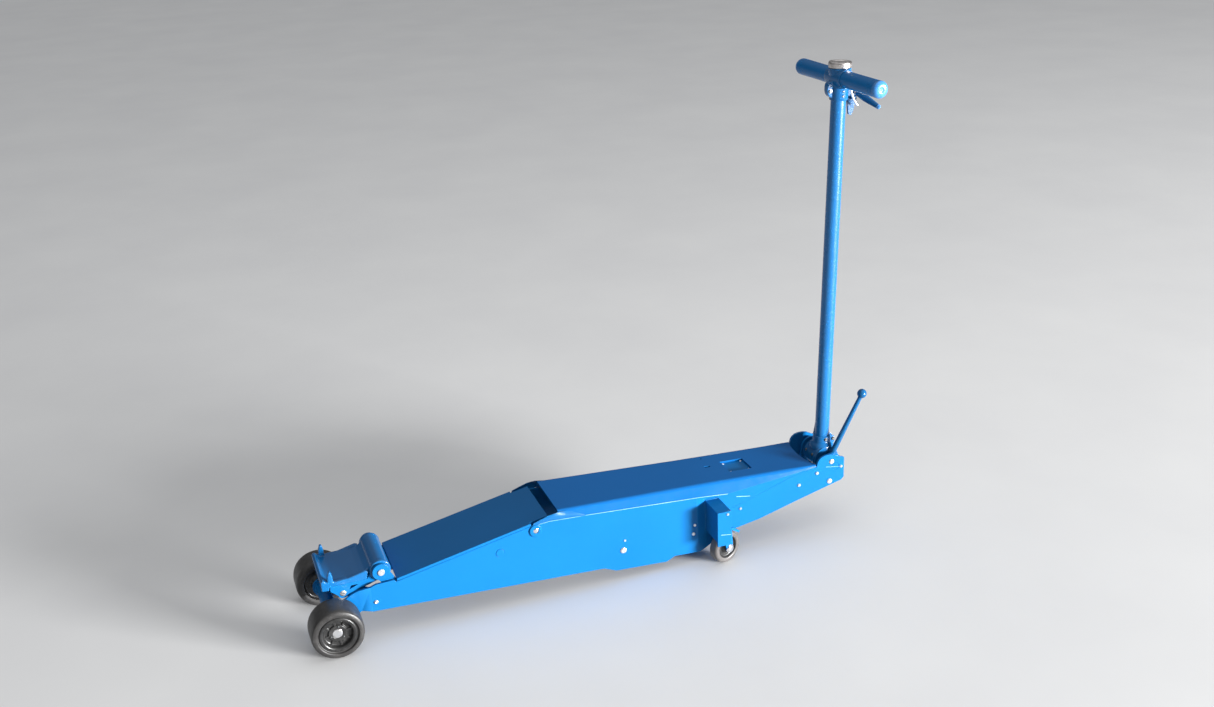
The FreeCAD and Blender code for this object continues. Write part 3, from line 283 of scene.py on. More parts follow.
def shade(mesh, sharp=35.0):
    """Smooth shading, with edges sharper than the angle in degrees kept crisp."""
    bm = bmesh.new()
    bm.from_mesh(mesh)
    for face in bm.faces:
        face.smooth = True
    for edge in bm.edges:
        edge.smooth = not (edge.is_manifold and edge.calc_face_angle() > math.radians(sharp))
    bm.to_mesh(mesh)
    bm.free()


def new_piece(name, mesh, body, material, *replaced, slot=None):
    """Put a mesh in the scene as a piece that rides on a body."""
    obj = bpy.data.objects.new(name, mesh)
    scene.collection.objects.link(obj)
    if not mesh.materials:
        mesh.materials.append(material)
    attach(obj, body)
    if replaced:
        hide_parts(*replaced)
    return obj


def add_modifier(obj, kind, **values):
    """A new modifier with its properties set."""
    modifier = obj.modifiers.new(kind.lower(), kind)
    for key, value in values.items():
        setattr(modifier, key, value)


def eased(obj, width, segments=2, angle=30.0):
    """Round every edge of a piece that is sharper than the angle in degrees."""
    add_modifier(obj, "BEVEL", width=width, segments=segments, limit_method="ANGLE",
                 angle_limit=math.radians(angle), miter_outer="MITER_ARC")
    add_modifier(obj, "WEIGHTED_NORMAL", weight=100, keep_sharp=True)


def clean_copy(node):
    """A CAD node's mesh with whole flat faces instead of triangles."""
    mesh = frame["nodes"][node].data.copy()
    bm = bmesh.new()
    bm.from_mesh(mesh)
    bmesh.ops.remove_doubles(bm, verts=bm.verts, dist=2e-6)
    bmesh.ops.dissolve_limit(bm, angle_limit=math.radians(0.4), verts=bm.verts,
                             edges=bm.edges)
    bm.to_mesh(mesh)
    bm.free()
    mesh.materials.clear()
    shade(mesh)
    return mesh


def refined(node, width, material, segments=2):
    """The CAD shape with eased edges, standing for its node."""
    obj = new_piece(node + "_finished", clean_copy(node), body_of(node), material, node)
    eased(obj, width * MM, segments)


def mesh_of(bm, name, sharp=35.0):
    """A shaded mesh from a finished bmesh."""
    bmesh.ops.recalc_face_normals(bm, faces=bm.faces)
    mesh = bpy.data.meshes.new(name)
    bm.to_mesh(mesh)
    bm.free()
    shade(mesh, sharp)
    return mesh


def add_piece(name, bm, body, material, *replaced, sharp=35.0, slot=None):
    """Put a finished bmesh in the scene as a piece that rides on a body."""
    new_piece(name, mesh_of(bm, name, sharp), body, material, *replaced,
              slot=slot or SLOTS.get(material, "blue_paint"))


def frame_for(direction):
    """Two directions square to a direction, and the direction itself, as a matrix."""
    axis = direction.normalized()
    side = axis.orthogonal().normalized()
    return Matrix((side, axis.cross(side), axis)).transposed()


def quadratic(start, bend, end, t):
    """A point on the curve from start to end that leans towards bend."""
    return start * (1 - t) ** 2 + bend * 2 * t * (1 - t) + end * t ** 2


def filleted(points, steps=5):
    """Round a polyline's corners: each point is (along, radius) or (along, radius, fillet)."""
    out = []
    for index, point in enumerate(points):
        here = Vector(point[:2])
        fillet = point[2] if len(point) > 2 else 0.0
        if not fillet or index in (0, len(points) - 1):
            out.append(here)
            continue
        before = Vector(points[index - 1][:2]) - here
        after = Vector(points[index + 1][:2]) - here
        reach = min(fillet, before.length * 0.48, after.length * 0.48)
        start, end = here + before.normalized() * reach, here + after.normalized() * reach
        out += [quadratic(start, here, end, step / steps) for step in range(steps + 1)]
    return out


def six_sided(angle):
    """Radius of a hexagon of unit half-width at an angle."""
    sixth = math.pi / 3.0
    return 1.0 / math.cos((angle + sixth / 2.0) % sixth - sixth / 2.0)


def turned(bm, profile, origin, direction, steps=64, closed=False, material=0):
    """Spin a profile of (along, radius) in mm about an axis; a third value makes a hexagon."""
    turn = frame_for(direction)
    rings = []
    for along, radius, *flats in profile:
        if radius == 0.0:
            rings.append([bm.verts.new(origin + turn @ Vector((0, 0, along * MM)))])
            continue
        ring = []
        for step in range(steps):
            angle = 2 * math.pi * step / steps
            reach = radius * (six_sided(angle) if flats else 1.0)
            local = Vector((math.cos(angle) * reach, math.sin(angle) * reach, along)) * MM
            ring.append(bm.verts.new(origin + turn @ local))
        rings.append(ring)
    pairs = list(zip(rings, rings[1:]))
    if closed:
        pairs.append((rings[-1], rings[0]))
    for first, second in pairs:
        for step in range(steps):
            after = (step + 1) % steps
            corners = [first[step % len(first)], first[after % len(first)],
                       second[after % len(second)], second[step % len(second)]]
            unique = list(dict.fromkeys(corners))
            if len(unique) > 2:
                bm.faces.new(unique).material_index = material


def socket_head(bm, base, outward, radius, height):
    """Domed screw head with a hexagon socket, standing on a face."""
    deep = height * 0.45
    turned(bm, [(-1.0, 0.0), (-1.0, radius), (height * 0.30, radius),
                (height * 0.72, radius * 0.86), (height, radius * 0.58), (height, radius * 0.42, 6),
                (deep, radius * 0.38, 6), (deep, 0.0)], base, outward, 24)


def hex_head(bm, base, outward, radius, height):
    """Hexagon bolt head with a chamfered top on a thin washer."""
    turned(bm, [(-0.5, 0.0), (-0.5, radius * 1.25), (1.2, radius * 1.25), (1.4, radius * 0.92, 6),
                (height * 0.8, radius * 0.92, 6), (height, radius * 0.80), (height, 0.0)],
           base, outward, 36)


def islands(node):
    """The (lowest, highest) corners of each separate solid of a CAD node."""
    bm = bmesh.new()
    bm.from_mesh(clean_copy(node))
    boxes, seen = [], set()
    for vert in bm.verts:
        if vert in seen:
            continue
        group, queue = [], [vert]
        seen.add(vert)
        while queue:
            here = queue.pop()
            group.append(here.co.copy())
            for edge in here.link_edges:
                other = edge.other_vert(here)
                if other not in seen:
                    seen.add(other)
                    queue.append(other)
        boxes.append((Vector(map(min, zip(*group))), Vector(map(max, zip(*group)))))
    bm.free()
    return boxes


def skin(bm, rings):
    """Faces from ring to ring, with the first and last ring closed."""
    count = len(rings[0])
    for first, second in zip(rings, rings[1:]):
        for step in range(count):
            after = (step + 1) % count
            bm.faces.new((first[step], first[after], second[after], second[step]))
    bm.faces.new(list(reversed(rings[0])))
    bm.faces.new(rings[-1])


def swept(bm, path, radius, sides, squash=1.0, ripple=0.0):
    """A rod along a path of points in metres; radius in mm, ripple for weld beads."""
    rings = []
    normal = None
    for index, point in enumerate(path):
        before = path[max(index - 1, 0)]
        after = path[min(index + 1, len(path) - 1)]
        tangent = (after - before).normalized()
        if normal is None:
            normal = tangent.cross(UP)
            if normal.length < 0.1:
                normal = tangent.cross(LEFT)
        normal = (normal - tangent * normal.dot(tangent)).normalized()
        other = tangent.cross(normal)
        reach = radius * (1.0 + ripple * math.sin(index * 2.1)) * MM
        ring = []
        for step in range(sides):
            angle = 2 * math.pi * step / sides
            spoke = normal * math.cos(angle) + other * math.sin(angle) * squash
            ring.append(bm.verts.new(point + spoke * reach))
        rings.append(ring)
    skin(bm, rings)


def block(bm, low, high, place=Vector):
    """A box between two corners in metres, each corner put where a function says."""
    corners = [Vector((x, y, z)) for x in (low.x, high.x) for y in (low.y, high.y)
               for z in (low.z, high.z)]
    verts = [bm.verts.new(place(corner)) for corner in corners]
    for face in ((0, 1, 3, 2), (4, 6, 7, 5), (0, 4, 5, 1), (2, 3, 7, 6), (0, 2, 6, 4),
                 (1, 5, 7, 3)):
        bm.faces.new([verts[i] for i in face])


def slab(bm, outline, low, high, place):
    """A plate between two x values in mm, its outline given as (y, z) points."""
    skin(bm, [[bm.verts.new(place(x, y, z)) for y, z in outline] for x in (low, high)])


def arc(y, z, radius, start, end, steps=24):
    """(y, z) points round a centre, angles in degrees from +Y towards +Z."""
    turns = [math.radians(start + (end - start) * i / steps) for i in range(steps + 1)]
    return [(y + radius * math.cos(a), z + radius * math.sin(a)) for a in turns]


def lofted(bm, stations, sides, power):
    """A solid through sections, each a centre and two half-size vectors; power 2 is an ellipse."""
    rings = []
    for centre, across, up in stations:
        ring = []
        for step in range(sides):
            angle = 2 * math.pi * step / sides
            c, s = math.cos(angle), math.sin(angle)
            ring.append(bm.verts.new(
                centre + across * math.copysign(abs(c) ** (2 / power), c)
                + up * math.copysign(abs(s) ** (2 / power), s)))
        rings.append(ring)
    skin(bm, rings)


def bead(bm, corners, radius=2.2, pitch=2.2, ripple=0.14):
    """A weld bead along corners, with the small waves left by the torch."""
    path = []
    for start, end in zip(corners, corners[1:]):
        steps = max(int((end - start).length / (pitch * MM)), 1)
        path += [start.lerp(end, i / steps) for i in range(steps)]
    path.append(corners[-1])
    swept(bm, path, radius, 8, ripple=ripple)


def ring_bead(bm, x, y, z, radius, width=2.2):
    """A weld bead round a tube that runs along x."""
    points = [at(x, *point) for point in arc(y, z, radius, 0.0, 350.0, 60)]
    swept(bm, points, width, 8, ripple=0.14)


def cast_piece(name, sources, body, material, node, voxel, rounds=4):
    """Fuse meshes into one painted casting with soft fillets where they meet."""
    bm = bmesh.new()
    for mesh in sources:
        bm.from_mesh(mesh)
    mesh = bpy.data.meshes.new(name)
    bm.to_mesh(mesh)
    bm.free()
    obj = new_piece(name, mesh, body, material, node, slot="blue_paint")
    add_modifier(obj, "REMESH", mode="VOXEL", voxel_size=voxel * MM, use_smooth_shade=True)
    add_modifier(obj, "SMOOTH", factor=0.5, iterations=rounds)


# ---------------------------------------- wheels

TYRE_BORE = 54.9                     # radius inside which a front wheel shows its cast centre
CASTER_TURN = math.radians(20.0)     # the casters rest turned this far, opposite ways
CASTER_HALF = 16.0                   # half the width of a caster wheel


def front_wheel(side, sign):
    """Solid tyre on a cast centre with a dished face, hub plate and retaining screws."""
    node = "front_wheel_" + side
    low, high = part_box(node)
    wide = (high.x - low.x) / MM
    tall = (high.z - low.z) / 2.0 / MM
    inner = Vector((low.x if sign > 0 else high.x, middle(node).y, middle(node).z))
    outward = LEFT * sign
    tyre = filleted([
        (3.0, 53.0), (0.5, tall - 13.0, 4.0), (3.5, tall - 2.6, 9.0), (14.0, tall - 0.2, 10.0),
        (wide / 2.0, tall, 10.0), (wide - 14.0, tall - 0.2, 10.0),
        (wide - 2.6, tall - 2.2, 10.0), (wide, tall - 11.0, 5.0), (wide - 0.6, 58.5, 2.0),
        (wide - 6.5, 56.5, 2.0), (wide - 6.5, 53.0)])
    centre = filleted([
        (5.0, 12.8), (5.0, 25.0, 2.0), (13.0, 33.0, 3.0), (13.0, 49.0, 3.0), (3.0, 53.5, 2.0),
        (3.0, 54.5), (wide - 6.8, 54.5, 0.5), (wide - 3.2, 51.5, 2.5), (wide - 3.2, 45.0, 3.0),
        (wide - 6.0, 41.5, 2.5), (wide - 17.5, 38.5, 4.0), (wide - 18.5, 27.0, 2.0),
        (wide - 13.5, 25.0, 1.5), (wide - 13.5, 15.5, 1.5), (wide - 17.0, 13.5), (wide - 17.0, 12.8)])
    bm = bmesh.new()
    turned(bm, tyre, inner, outward, 112, closed=True)
    turned(bm, centre, inner, outward, 96, closed=True)
    turn = frame_for(outward)
    for index in range(8):
        spoke = Matrix.Rotation(math.radians(45.0 * index + 11.0), 3, "Z")
        block(bm, Vector((26.0, -2.2, wide - 20.0)) * MM, Vector((40.0, 2.2, wide - 14.5)) * MM,
              lambda corner: inner + turn @ (spoke @ corner))
    mesh = mesh_of(bm, node)
    mesh.materials.append(TYRE)
    mesh.materials.append(HUB)
    for polygon in mesh.polygons:
        reach = math.hypot(polygon.center.y - inner.y, polygon.center.z - inner.z)
        polygon.material_index = 1 if reach < TYRE_BORE * MM else 0
    new_piece(node + "_turned", mesh, "front_" + side, TYRE, node, slot="front_tyre")
    bm = bmesh.new()
    screws = filleted([(wide - 14.0, 2.7), (wide - 11.2, 2.7, 1.0), (wide - 10.8, 0.0)], 3)
    for index in range(3):
        angle = math.radians(120.0 * index + 35.0)
        spot = inner + turn @ (Vector((math.cos(angle), math.sin(angle), 0.0)) * 20.5 * MM)
        turned(bm, screws, spot, outward, 20)
    add_piece("hub_screws_" + side, bm, "front_" + side, STEEL)


def axle_end(side, sign):
    """Bright domed end of the front axle, standing in the dish of the wheel."""
    outward = LEFT * sign
    face = AXLE + outward * (size("front_axle").x / 2.0 + 1.5 * MM)
    bm = bmesh.new()
    turned(bm, filleted([(-14.0, 0.0), (-14.0, 12.0), (-4.0, 12.0), (-3.6, 14.5, 0.5),
                         (-0.6, 14.2, 1.6), (0.8, 8.0, 2.0), (0.8, 0.0)]), face, outward, 48)
    add_piece("axle_end_" + side, bm, "chassis", CHROME)


def caster_wheel(side, sign):
    """Pale tread on a dark dished centre."""
    node = "caster_wheel_" + side
    turn = CASTER_TURN * sign
    axis = Vector((math.cos(turn), math.sin(turn), 0.0))
    centre = middle(node)
    rim = size(node).z / 2.0 / MM
    half = CASTER_HALF
    half_profile = [(half - 6.0, 33.0), (half - 1.0, 36.0, 2.0), (half, 40.0, 2.0),
                    (half - 0.4, rim - 5.0, 4.0), (half - 5.5, rim - 0.3, 5.0)]
    tread = filleted([(-a, r, *f) for a, r, *f in half_profile] + [(0.0, rim)] +
                     list(reversed(half_profile)))
    dish = filleted([(-half, 7.2), (-half, 15.0, 2.0), (4.0 - half, 19.0, 2.0),
                     (8.5 - half, 22.0, 3.0), (8.5 - half, 31.0, 3.0), (2.0 - half, 35.0, 2.0),
                     (3.0 - half, 36.2), (half - 3.0, 36.2), (half - 2.0, 35.0, 2.0),
                     (half - 8.5, 31.0, 3.0), (half - 8.5, 22.0, 3.0), (half - 4.0, 19.0, 2.0),
                     (half, 15.0, 2.0), (half, 7.2)])
    bm = bmesh.new()
    turned(bm, tread, centre, axis, 88, closed=True)
    turned(bm, dish, centre, axis, 72, closed=True, material=1)
    mesh = mesh_of(bm, node)
    mesh.materials.append(TREAD)
    mesh.materials.append(HUB)
    new_piece(node + "_turned", mesh, "roller_" + side, TREAD, node, slot="caster_tread")


for side, sign in SIDES:
    front_wheel(side, sign)
    caster_wheel(side, sign)
    axle_end(side, sign)


# ---------------------------------------- painted CAD shapes, edges eased

FINE_EDGE = 0.7                      # radius of an edge of bare metal or folded sheet, in mm
PLATES = {                           # and of each of these
    "side_plate_left": 1.3, "side_plate_right": 1.3, "access_cover": 0.8,
    "arm_top_plate": 1.4, "arm_web_left": 1.2, "arm_web_right": 1.2, "caster_housing_left": 1.2,
    "caster_housing_right": 1.2, "handle_bracket": 1.8, "rear_tie_bar": 0.8,
    "saddle_carrier": 1.8, "level_link_left": 1.4, "level_link_right": 1.4,
    "arm_crank_plates": 1.0, "arm_torque_tube": 0.8, "cylinder_cradle": 1.0,
    "reservoir_tank": 2.0, "valve_block": 1.2, "pump_block": 1.2, "hydraulic_cylinder": 1.6,
    "front_axle_tube": 0.8, "front_cross_tube": 0.8, "caster_fork_left": 0.9,
    "caster_fork_right": 0.9, "handle_tube": 0.6, "link_pivot_shaft": 0.8,
    "handle_pivot_pin": 0.8,
}
for node, width in PLATES.items():
    refined(node, width, GLOSS_BLUE if node == "handle_tube" else BLUE)


# ---------------------------------------- the folded rear cover

# distance back, half-width at the bend, half-width and depth of the flange
COVER_SECTIONS = ((675.0, 104.0, 111.0, 26.5), (1125.0, 94.0, 111.0, 33.5),
                  (1222.0, 93.5, 111.0, 38.0), (1528.0, 92.5, 95.0, 6.5))
COVER_SHEET = 6.0                    # thickness at the bends
COVER_LIP = 7.0                      # and of the flange's lower edge
COVER_BEND = 9.0                     # fillet of the bend
COVER_FRONT = 272.5                  # height of its front edge
COVER_SLOPE = 0.04333                # fall towards the rear
COVER_STEP = 30.0                    # between the sections that are drawn
OPENING = ((-31.0, 1254.0), (43.0, 1331.0))
NARROW_SLOT = ((-17.0, 1194.0), (-9.0, 1213.0))
ROUND_CUTS = (((-72.0, 1207.0), 3.5, 24),         # centre, radius and steps of the small hole
              ((0.0, 1790.0), 278.0, 400))        # and of the notch round the handle's foot
CUT_FROM, CUT_TO = 180.0, 290.0      # heights that the cutters span


def cover_ring(y, edge, flange, drop):
    """The folded sheet's outline at y, with a press-brake radius at each bend."""
    top = COVER_FRONT - COVER_SLOPE * (y - COVER_SECTIONS[0][0])
    bend = filleted([(0.0, top), (edge, top, COVER_BEND), (flange, top - drop)], 8)[1:]
    right = [(p.x, p.y) for p in bend] + [(flange - COVER_LIP, top - drop),
                                          (edge - COVER_SHEET, top - COVER_SHEET)]
    return right + [(-x, z) for x, z in reversed(right)]


def cut_mesh(mesh, cutter):
    """A mesh with the cutter's solids taken away."""
    body, tool = (bpy.data.objects.new(m.name, m) for m in (mesh, cutter))
    for obj in (body, tool):
        scene.collection.objects.link(obj)
    add_modifier(body, "BOOLEAN", operation="DIFFERENCE", object=tool, solver="EXACT")
    bpy.context.view_layer.update()
    done = bpy.data.meshes.new_from_object(
        body.evaluated_get(bpy.context.evaluated_depsgraph_get()))
    for obj in (body, tool):
        bpy.data.objects.remove(obj)
    return done


def rear_cover():
    """Rear cover folded from sheet, with its service opening, slot, hole and notch."""
    bm = bmesh.new()
    rings = []
    for (y0, *first), (y1, *last) in zip(COVER_SECTIONS, COVER_SECTIONS[1:]):
        steps = max(round((y1 - y0) / COVER_STEP), 1)
        last_ring = y1 == COVER_SECTIONS[-1][0]
        for step in range(steps + last_ring):
            t = step / steps
            y = y0 + (y1 - y0) * t
            ring = cover_ring(y, *(a + (b - a) * t for a, b in zip(first, last)))
            rings.append([bm.verts.new(at(x, y, z)) for x, z in ring])
    skin(bm, rings)
    sheet = mesh_of(bm, "cover_sheet")
    bm = bmesh.new()
    for low, high in (OPENING, NARROW_SLOT):
        block(bm, at(*low, CUT_FROM), at(*high, CUT_TO))
    tall = CUT_TO - CUT_FROM
    for place, radius, steps in ROUND_CUTS:
        turned(bm, [(0.0, 0.0), (0.0, radius), (tall, radius), (tall, 0.0)],
               at(*place, CUT_FROM), UP, steps)
    mesh = cut_mesh(sheet, mesh_of(bm, "cover_cutters"))
    mesh.materials.clear()
    shade(mesh, 24.0)
    # the cover takes the darker copy of the enamel, painted shade
    obj = new_piece("rear_cover_folded", mesh, "chassis", SHADED_COVER_BLUE, "rear_cover",
                    slot="blue_paint")
    eased(obj, FINE_EDGE * MM, angle=28.0)


rear_cover()


# ---------------------------------------- bare metal and small castings

METALS = {
    "front_axle": BRIGHT, "front_axle_spacers": STEEL, "arm_pivot_shaft": BRIGHT,
    "pressure_pipe": STEEL, "ram_rod": ROD_CHROME, "ram_crosshead": STEEL, "ram_pin": BRIGHT,
    "saddle_pins": BRIGHT, "link_front_pins": BRIGHT, "pump_plunger": ROD_CHROME,
    "pump_roller": STEEL, "release_rod": BRIGHT,
}
for node, material in METALS.items():
    refined(node, FINE_EDGE, material)
# the trigger bracket takes the darker enamel, painted shade
refined("trigger_bracket", 2.4, SHADED_BLUE, 3)


SADDLE_ROLL = (148.0, 192.0, 30.5)   # back, height and radius of the saddle's rolled rear edge


def saddle_casting():
    """The saddle with its rolled rear edge carried round over the carrier's ears."""
    bm = bmesh.new()
    for start in (73.0, -88.6):
        slab(bm, arc(*SADDLE_ROLL, 0.0, 355.0, 60), start, start + 15.6, at)
    cast_piece("saddle_casting", [clean_copy("saddle"), mesh_of(bm, "barrel_ends")], "carrier",
               CAST_BLUE, "saddle", voxel=1.8, rounds=6)


saddle_casting()
# the levers take the darker enamel, painted shade
for node in ("lowering_lever", "handle_lock_lever"):
    cast_piece(node + "_forged", [clean_copy(node)], body_of(node), SHADED_BLUE, node,
               voxel=1.0, rounds=3)


# ---------------------------------------- fixings

BOLT_RADII = (6.5, 10.0, 4.0, 5.5, 4.5, 5.0, 6.0, 6.0, 9.0, 8.5, 5.0)   # front to rear


def bolt_heads():
    """Button-head screws on the outer faces of the chassis."""
    bm = bmesh.new()
    boxes = islands("frame_bolts")
    for _, sign in SIDES:
        row = sorted((box for box in boxes if box[0].x * sign > 0), key=lambda box: box[0].y)
        for (low, high), radius in zip(row, BOLT_RADII):
            base = (low + high) / 2.0
            base.x = sign * min(abs(low.x), abs(high.x))
            socket_head(bm, base, LEFT * sign, radius, min(4.0, radius * 0.7))
        socket_head(bm, at(sign * (BOX - 0.2), 1180.0, 187.0), LEFT * sign, 4.2, 3.0)
    add_piece("bolt_heads", bm, "chassis", BRIGHT, "frame_bolts", sharp=30.0)


def cover_screws():
    """Pan-head screws in the recessed access cover."""
    bm = bmesh.new()
    for low, high in islands("access_cover_screws"):
        base = (low + high) / 2.0
        base.z = low.z
        socket_head(bm, base, UP, 3.6, 2.4)
    add_piece("access_cover_pan_heads", bm, "chassis", BRIGHT, "access_cover_screws", sharp=30.0)


def pivot_caps():
    """Painted caps over the arm pivot, each with the bright shaft end showing."""
    centre = middle("arm_pivot_caps")
    reach = size("arm_pivot_caps").x / 2.0
    caps, ends = bmesh.new(), bmesh.new()
    for _, sign in SIDES:
        outward = LEFT * sign
        base = centre + outward * (reach - 5.0 * MM)
        turned(caps, filleted([(0.0, 8.6), (0.0, 20.5), (1.0, 20.5), (1.0, 17.6), (1.9, 17.6),
                               (1.9, 19.0), (4.0, 19.0, 1.2), (5.0, 16.5, 1.0), (4.6, 8.6, 1.0)]),
               base, outward, 64, closed=True)
        turned(ends, filleted([(0.0, 0.0), (0.0, 8.4), (3.4, 8.4, 1.0), (4.6, 6.0, 1.5),
                               (5.0, 0.0)]), base, outward, 40)
    add_piece("arm_pivot_cap_rings", caps, "chassis", BLUE, "arm_pivot_caps")
    add_piece("arm_pivot_shaft_ends", ends, "chassis", CHROME)


bolt_heads()
cover_screws()
pivot_caps()


# ---------------------------------------- welds and small chassis parts

# Each line runs along one flat face: its distance from the middle, then (back, height) points.
FOLD_FRONT = (113.2, (612.0, 244.8), (645.0, 247.8), (675.0, 246.4))
FOLD = (111.3, (758.0, 241.4), (1125.0, 219.2), (1216.0, 210.8))
SEAMS = (((PLATE + 0.3, (1252.0, 186.0), (1298.0, 178.0)), 1.0),
         ((PLATE + 0.3, (1562.0, 222.0), (1619.0, 213.0)), 0.8),
         ((BOX + 0.3, (1158.0, 121.0), (1190.0, 116.0)), 0.9))
CREASE = (PLATE, (1240.0, 150.0), (1328.0, 175.0), (1436.0, 211.0), (1500.0, 222.0))


def along_face(sign, x, *points):
    """A line's points on one side of the jack."""
    return [at(sign * x, y, z) for y, z in points]


def cover_seam():
    """Fine seams painted lighter as a highlight, the longest where the cover's flange meets each side
    plate.
    """
    bm = bmesh.new()
    for _, sign in SIDES:
        bead(bm, along_face(sign, *FOLD_FRONT) + along_face(sign, *FOLD), 0.85, 3.0, 0.10)
        for line, radius in SEAMS:
            bead(bm, along_face(sign, *line), radius, 3.0)
    add_piece("cover_seams", bm, "chassis", SEAM_HIGHLIGHT_BLUE, sharp=60.0)
    bm = bmesh.new()
    for _, sign in SIDES:
        bead(bm, along_face(sign, *CREASE), 0.9, 4.0, 0.0)
    add_piece("side_plate_creases", bm, "chassis", BLUE, sharp=60.0)


# the gusset's lower and upper edges, as (back, height) points
GUSSET_LOW = ((596.0, 243.5), (620.0, 245.0), (645.0, 247.6), (675.0, 246.0), (705.0, 244.4),
              (735.0, 242.7), (758.0, 241.4))
GUSSET_HIGH = ((597.0, 250.5), (620.0, 258.5), (645.0, 266.5), (672.0, 269.6), (702.0, 266.5),
               (731.0, 256.5), (758.0, 242.8))
GUSSET_ROWS, GUSSET_COLUMNS = 10, 36
GUSSET_SKIN = 1.2
GUSSET_SWELL = 2.6
GUSSET_PLATE = 112.8                 # from the middle where the gusset meets the side plate
FLANGE_FOOT = (112.4, 246.0)         # the flange behind it: distance and height of its foot
FLANGE_LEAN = 0.264                  # and how far it leans inward per mm of height


def part_way(points, share):
    """The point a share of the way along evenly counted points."""
    place = share * (len(points) - 1.0001)
    k, t = int(place), place % 1.0
    return [a + (b - a) * t for a, b in zip(points[k], points[k + 1])]


def gusset_point(along, up):
    """The gusset's outer face: flush with the plate in front, leaning with the flange behind."""
    (y0, z0), (y1, z1) = part_way(GUSSET_LOW, along), part_way(GUSSET_HIGH, along)
    y, z = y0 + (y1 - y0) * up, z0 + (z1 - z0) * up
    behind = min(max((y - 660.0) / 40.0, 0.0), 1.0)
    flange = FLANGE_FOOT[0] - FLANGE_LEAN * max(z - FLANGE_FOOT[1], 0.0)
    swell = GUSSET_SWELL * math.sin(math.pi * up) * math.sin(math.pi * along)
    return GUSSET_PLATE * (1.0 - behind) + flange * behind + swell, y, z


def sheet_faces(bm, one, other):
    """Faces between two rows of the same length."""
    for j in range(len(one) - 1):
        bm.faces.new((one[j], other[j], other[j + 1], one[j + 1]))


def corner_gussets():
    """Rounded corner pieces that close the cover's front end outside the arm."""
    bm = bmesh.new()
    for _, sign in SIDES:
        outer, inner = [], []
        for grid, inset in ((outer, 0.0), (inner, GUSSET_SKIN)):
            for i in range(GUSSET_COLUMNS + 1):
                column = [gusset_point(i / GUSSET_COLUMNS, j / GUSSET_ROWS)
                          for j in range(GUSSET_ROWS + 1)]
                grid.append([bm.verts.new(at(sign * (x - inset), y, z)) for x, y, z in column])
            for left, right in zip(grid, grid[1:]):
                sheet_faces(bm, left, right)
        for end in (0, -1):
            sheet_faces(bm, [c[end] for c in outer], [c[end] for c in inner])
            sheet_faces(bm, outer[end], inner[end])
    add_piece("cover_corner_gussets", bm, "chassis", CAST_BLUE, sharp=50.0)


def chassis_welds():
    """Welds of the caster boxes, the cross tubes and the cylinder's cradle."""
    bm = bmesh.new()
    for _, sign in SIDES:
        bead(bm, [at(sign * 96.6, 1146.8, 97.0), at(sign * 96.6, 1146.8, 195.0)])
        bead(bm, [at(sign * 96.0, 1149.0, 196.2), at(sign * 95.8, 1191.0, 196.2)], 2.0)
        ring_bead(bm, sign * 87.6, 0.0, 75.0, 21.6)
        ring_bead(bm, sign * 102.6, 300.0, 92.0, 16.6)
        bead(bm, [at(sign * 103.0, 854.5, 64.0), at(sign * 103.0, 854.5, 144.0)])
        bead(bm, [at(sign * 74.8, 1072.0, 154.0), at(sign * 74.8, 1278.0, 154.0)], 1.6)
    add_piece("chassis_welds", bm, "chassis", BLUE, sharp=60.0)


def arm_welds():
    """Welds of the arm's top plate, crank plates and torque tube."""
    bm = bmesh.new()
    for _, sign in SIDES:
        bead(bm, [at(sign * 89.4, 205.0, 163.0), at(sign * 89.4, 585.0, 241.2)])
        for x in (24.0, 34.0, 89.6):
            ring_bead(bm, sign * x, *ARM_PIVOT, 19.0, 2.0)
    add_piece("arm_welds", bm, "arm", BLUE, sharp=60.0)


def hydraulic_fittings():
    """Plugs, gland rings and screws of the hydraulic unit under the cover."""
    bm = bmesh.new()
    front = Vector((0.0, -1.0, 0.0))
    for _, sign in SIDES:
        hex_head(bm, at(sign * 50.0, 1018.0, 112.0), LEFT * sign, 9.0, 8.0)
        hex_head(bm, at(sign * 50.0, 1050.0, 152.0), LEFT * sign, 7.0, 6.0)
        socket_head(bm, at(sign * 34.0, 1430.0, 172.0), front, 5.0, 4.0)
        socket_head(bm, at(sign * 70.0, 854.8, 78.0), front, 6.0, 5.0)
    hex_head(bm, at(0.0, 1024.0, 90.0), -UP, 8.0, 6.0)
    hex_head(bm, at(-34.0, 1180.0, 213.0), UP, 11.0, 10.0)
    hex_head(bm, at(0.0, 1110.0, 95.0), -UP, 9.0, 6.0)
    add_piece("hydraulic_fittings", bm, "chassis", BRIGHT, sharp=30.0)
    bm = bmesh.new()
    mouth = at(0.0, 762.0, 135.0)
    for start, end in ((0.0, 16.0), (222.0, 238.0)):
        turned(bm, filleted([(start, 44.0), (start + 1.0, 47.5, 0.8), (end - 1.0, 47.5, 0.8),
                             (end, 44.0)]), mouth, -front, 72, closed=True)
    turned(bm, [(-4.0, 22.8), (-4.0, 33.0), (-2.0, 34.0), (0.5, 34.0), (0.5, 22.8)], mouth,
           -front, 60, closed=True)
    add_piece("cylinder_gland_rings", bm, "chassis", STEEL, slot="dark_steel")


cover_seam()
corner_gussets()
chassis_welds()
arm_welds()
hydraulic_fittings()


# ---------------------------------------- casters

CHEEK = 24.0                         # from a caster's middle to the outside of its fork


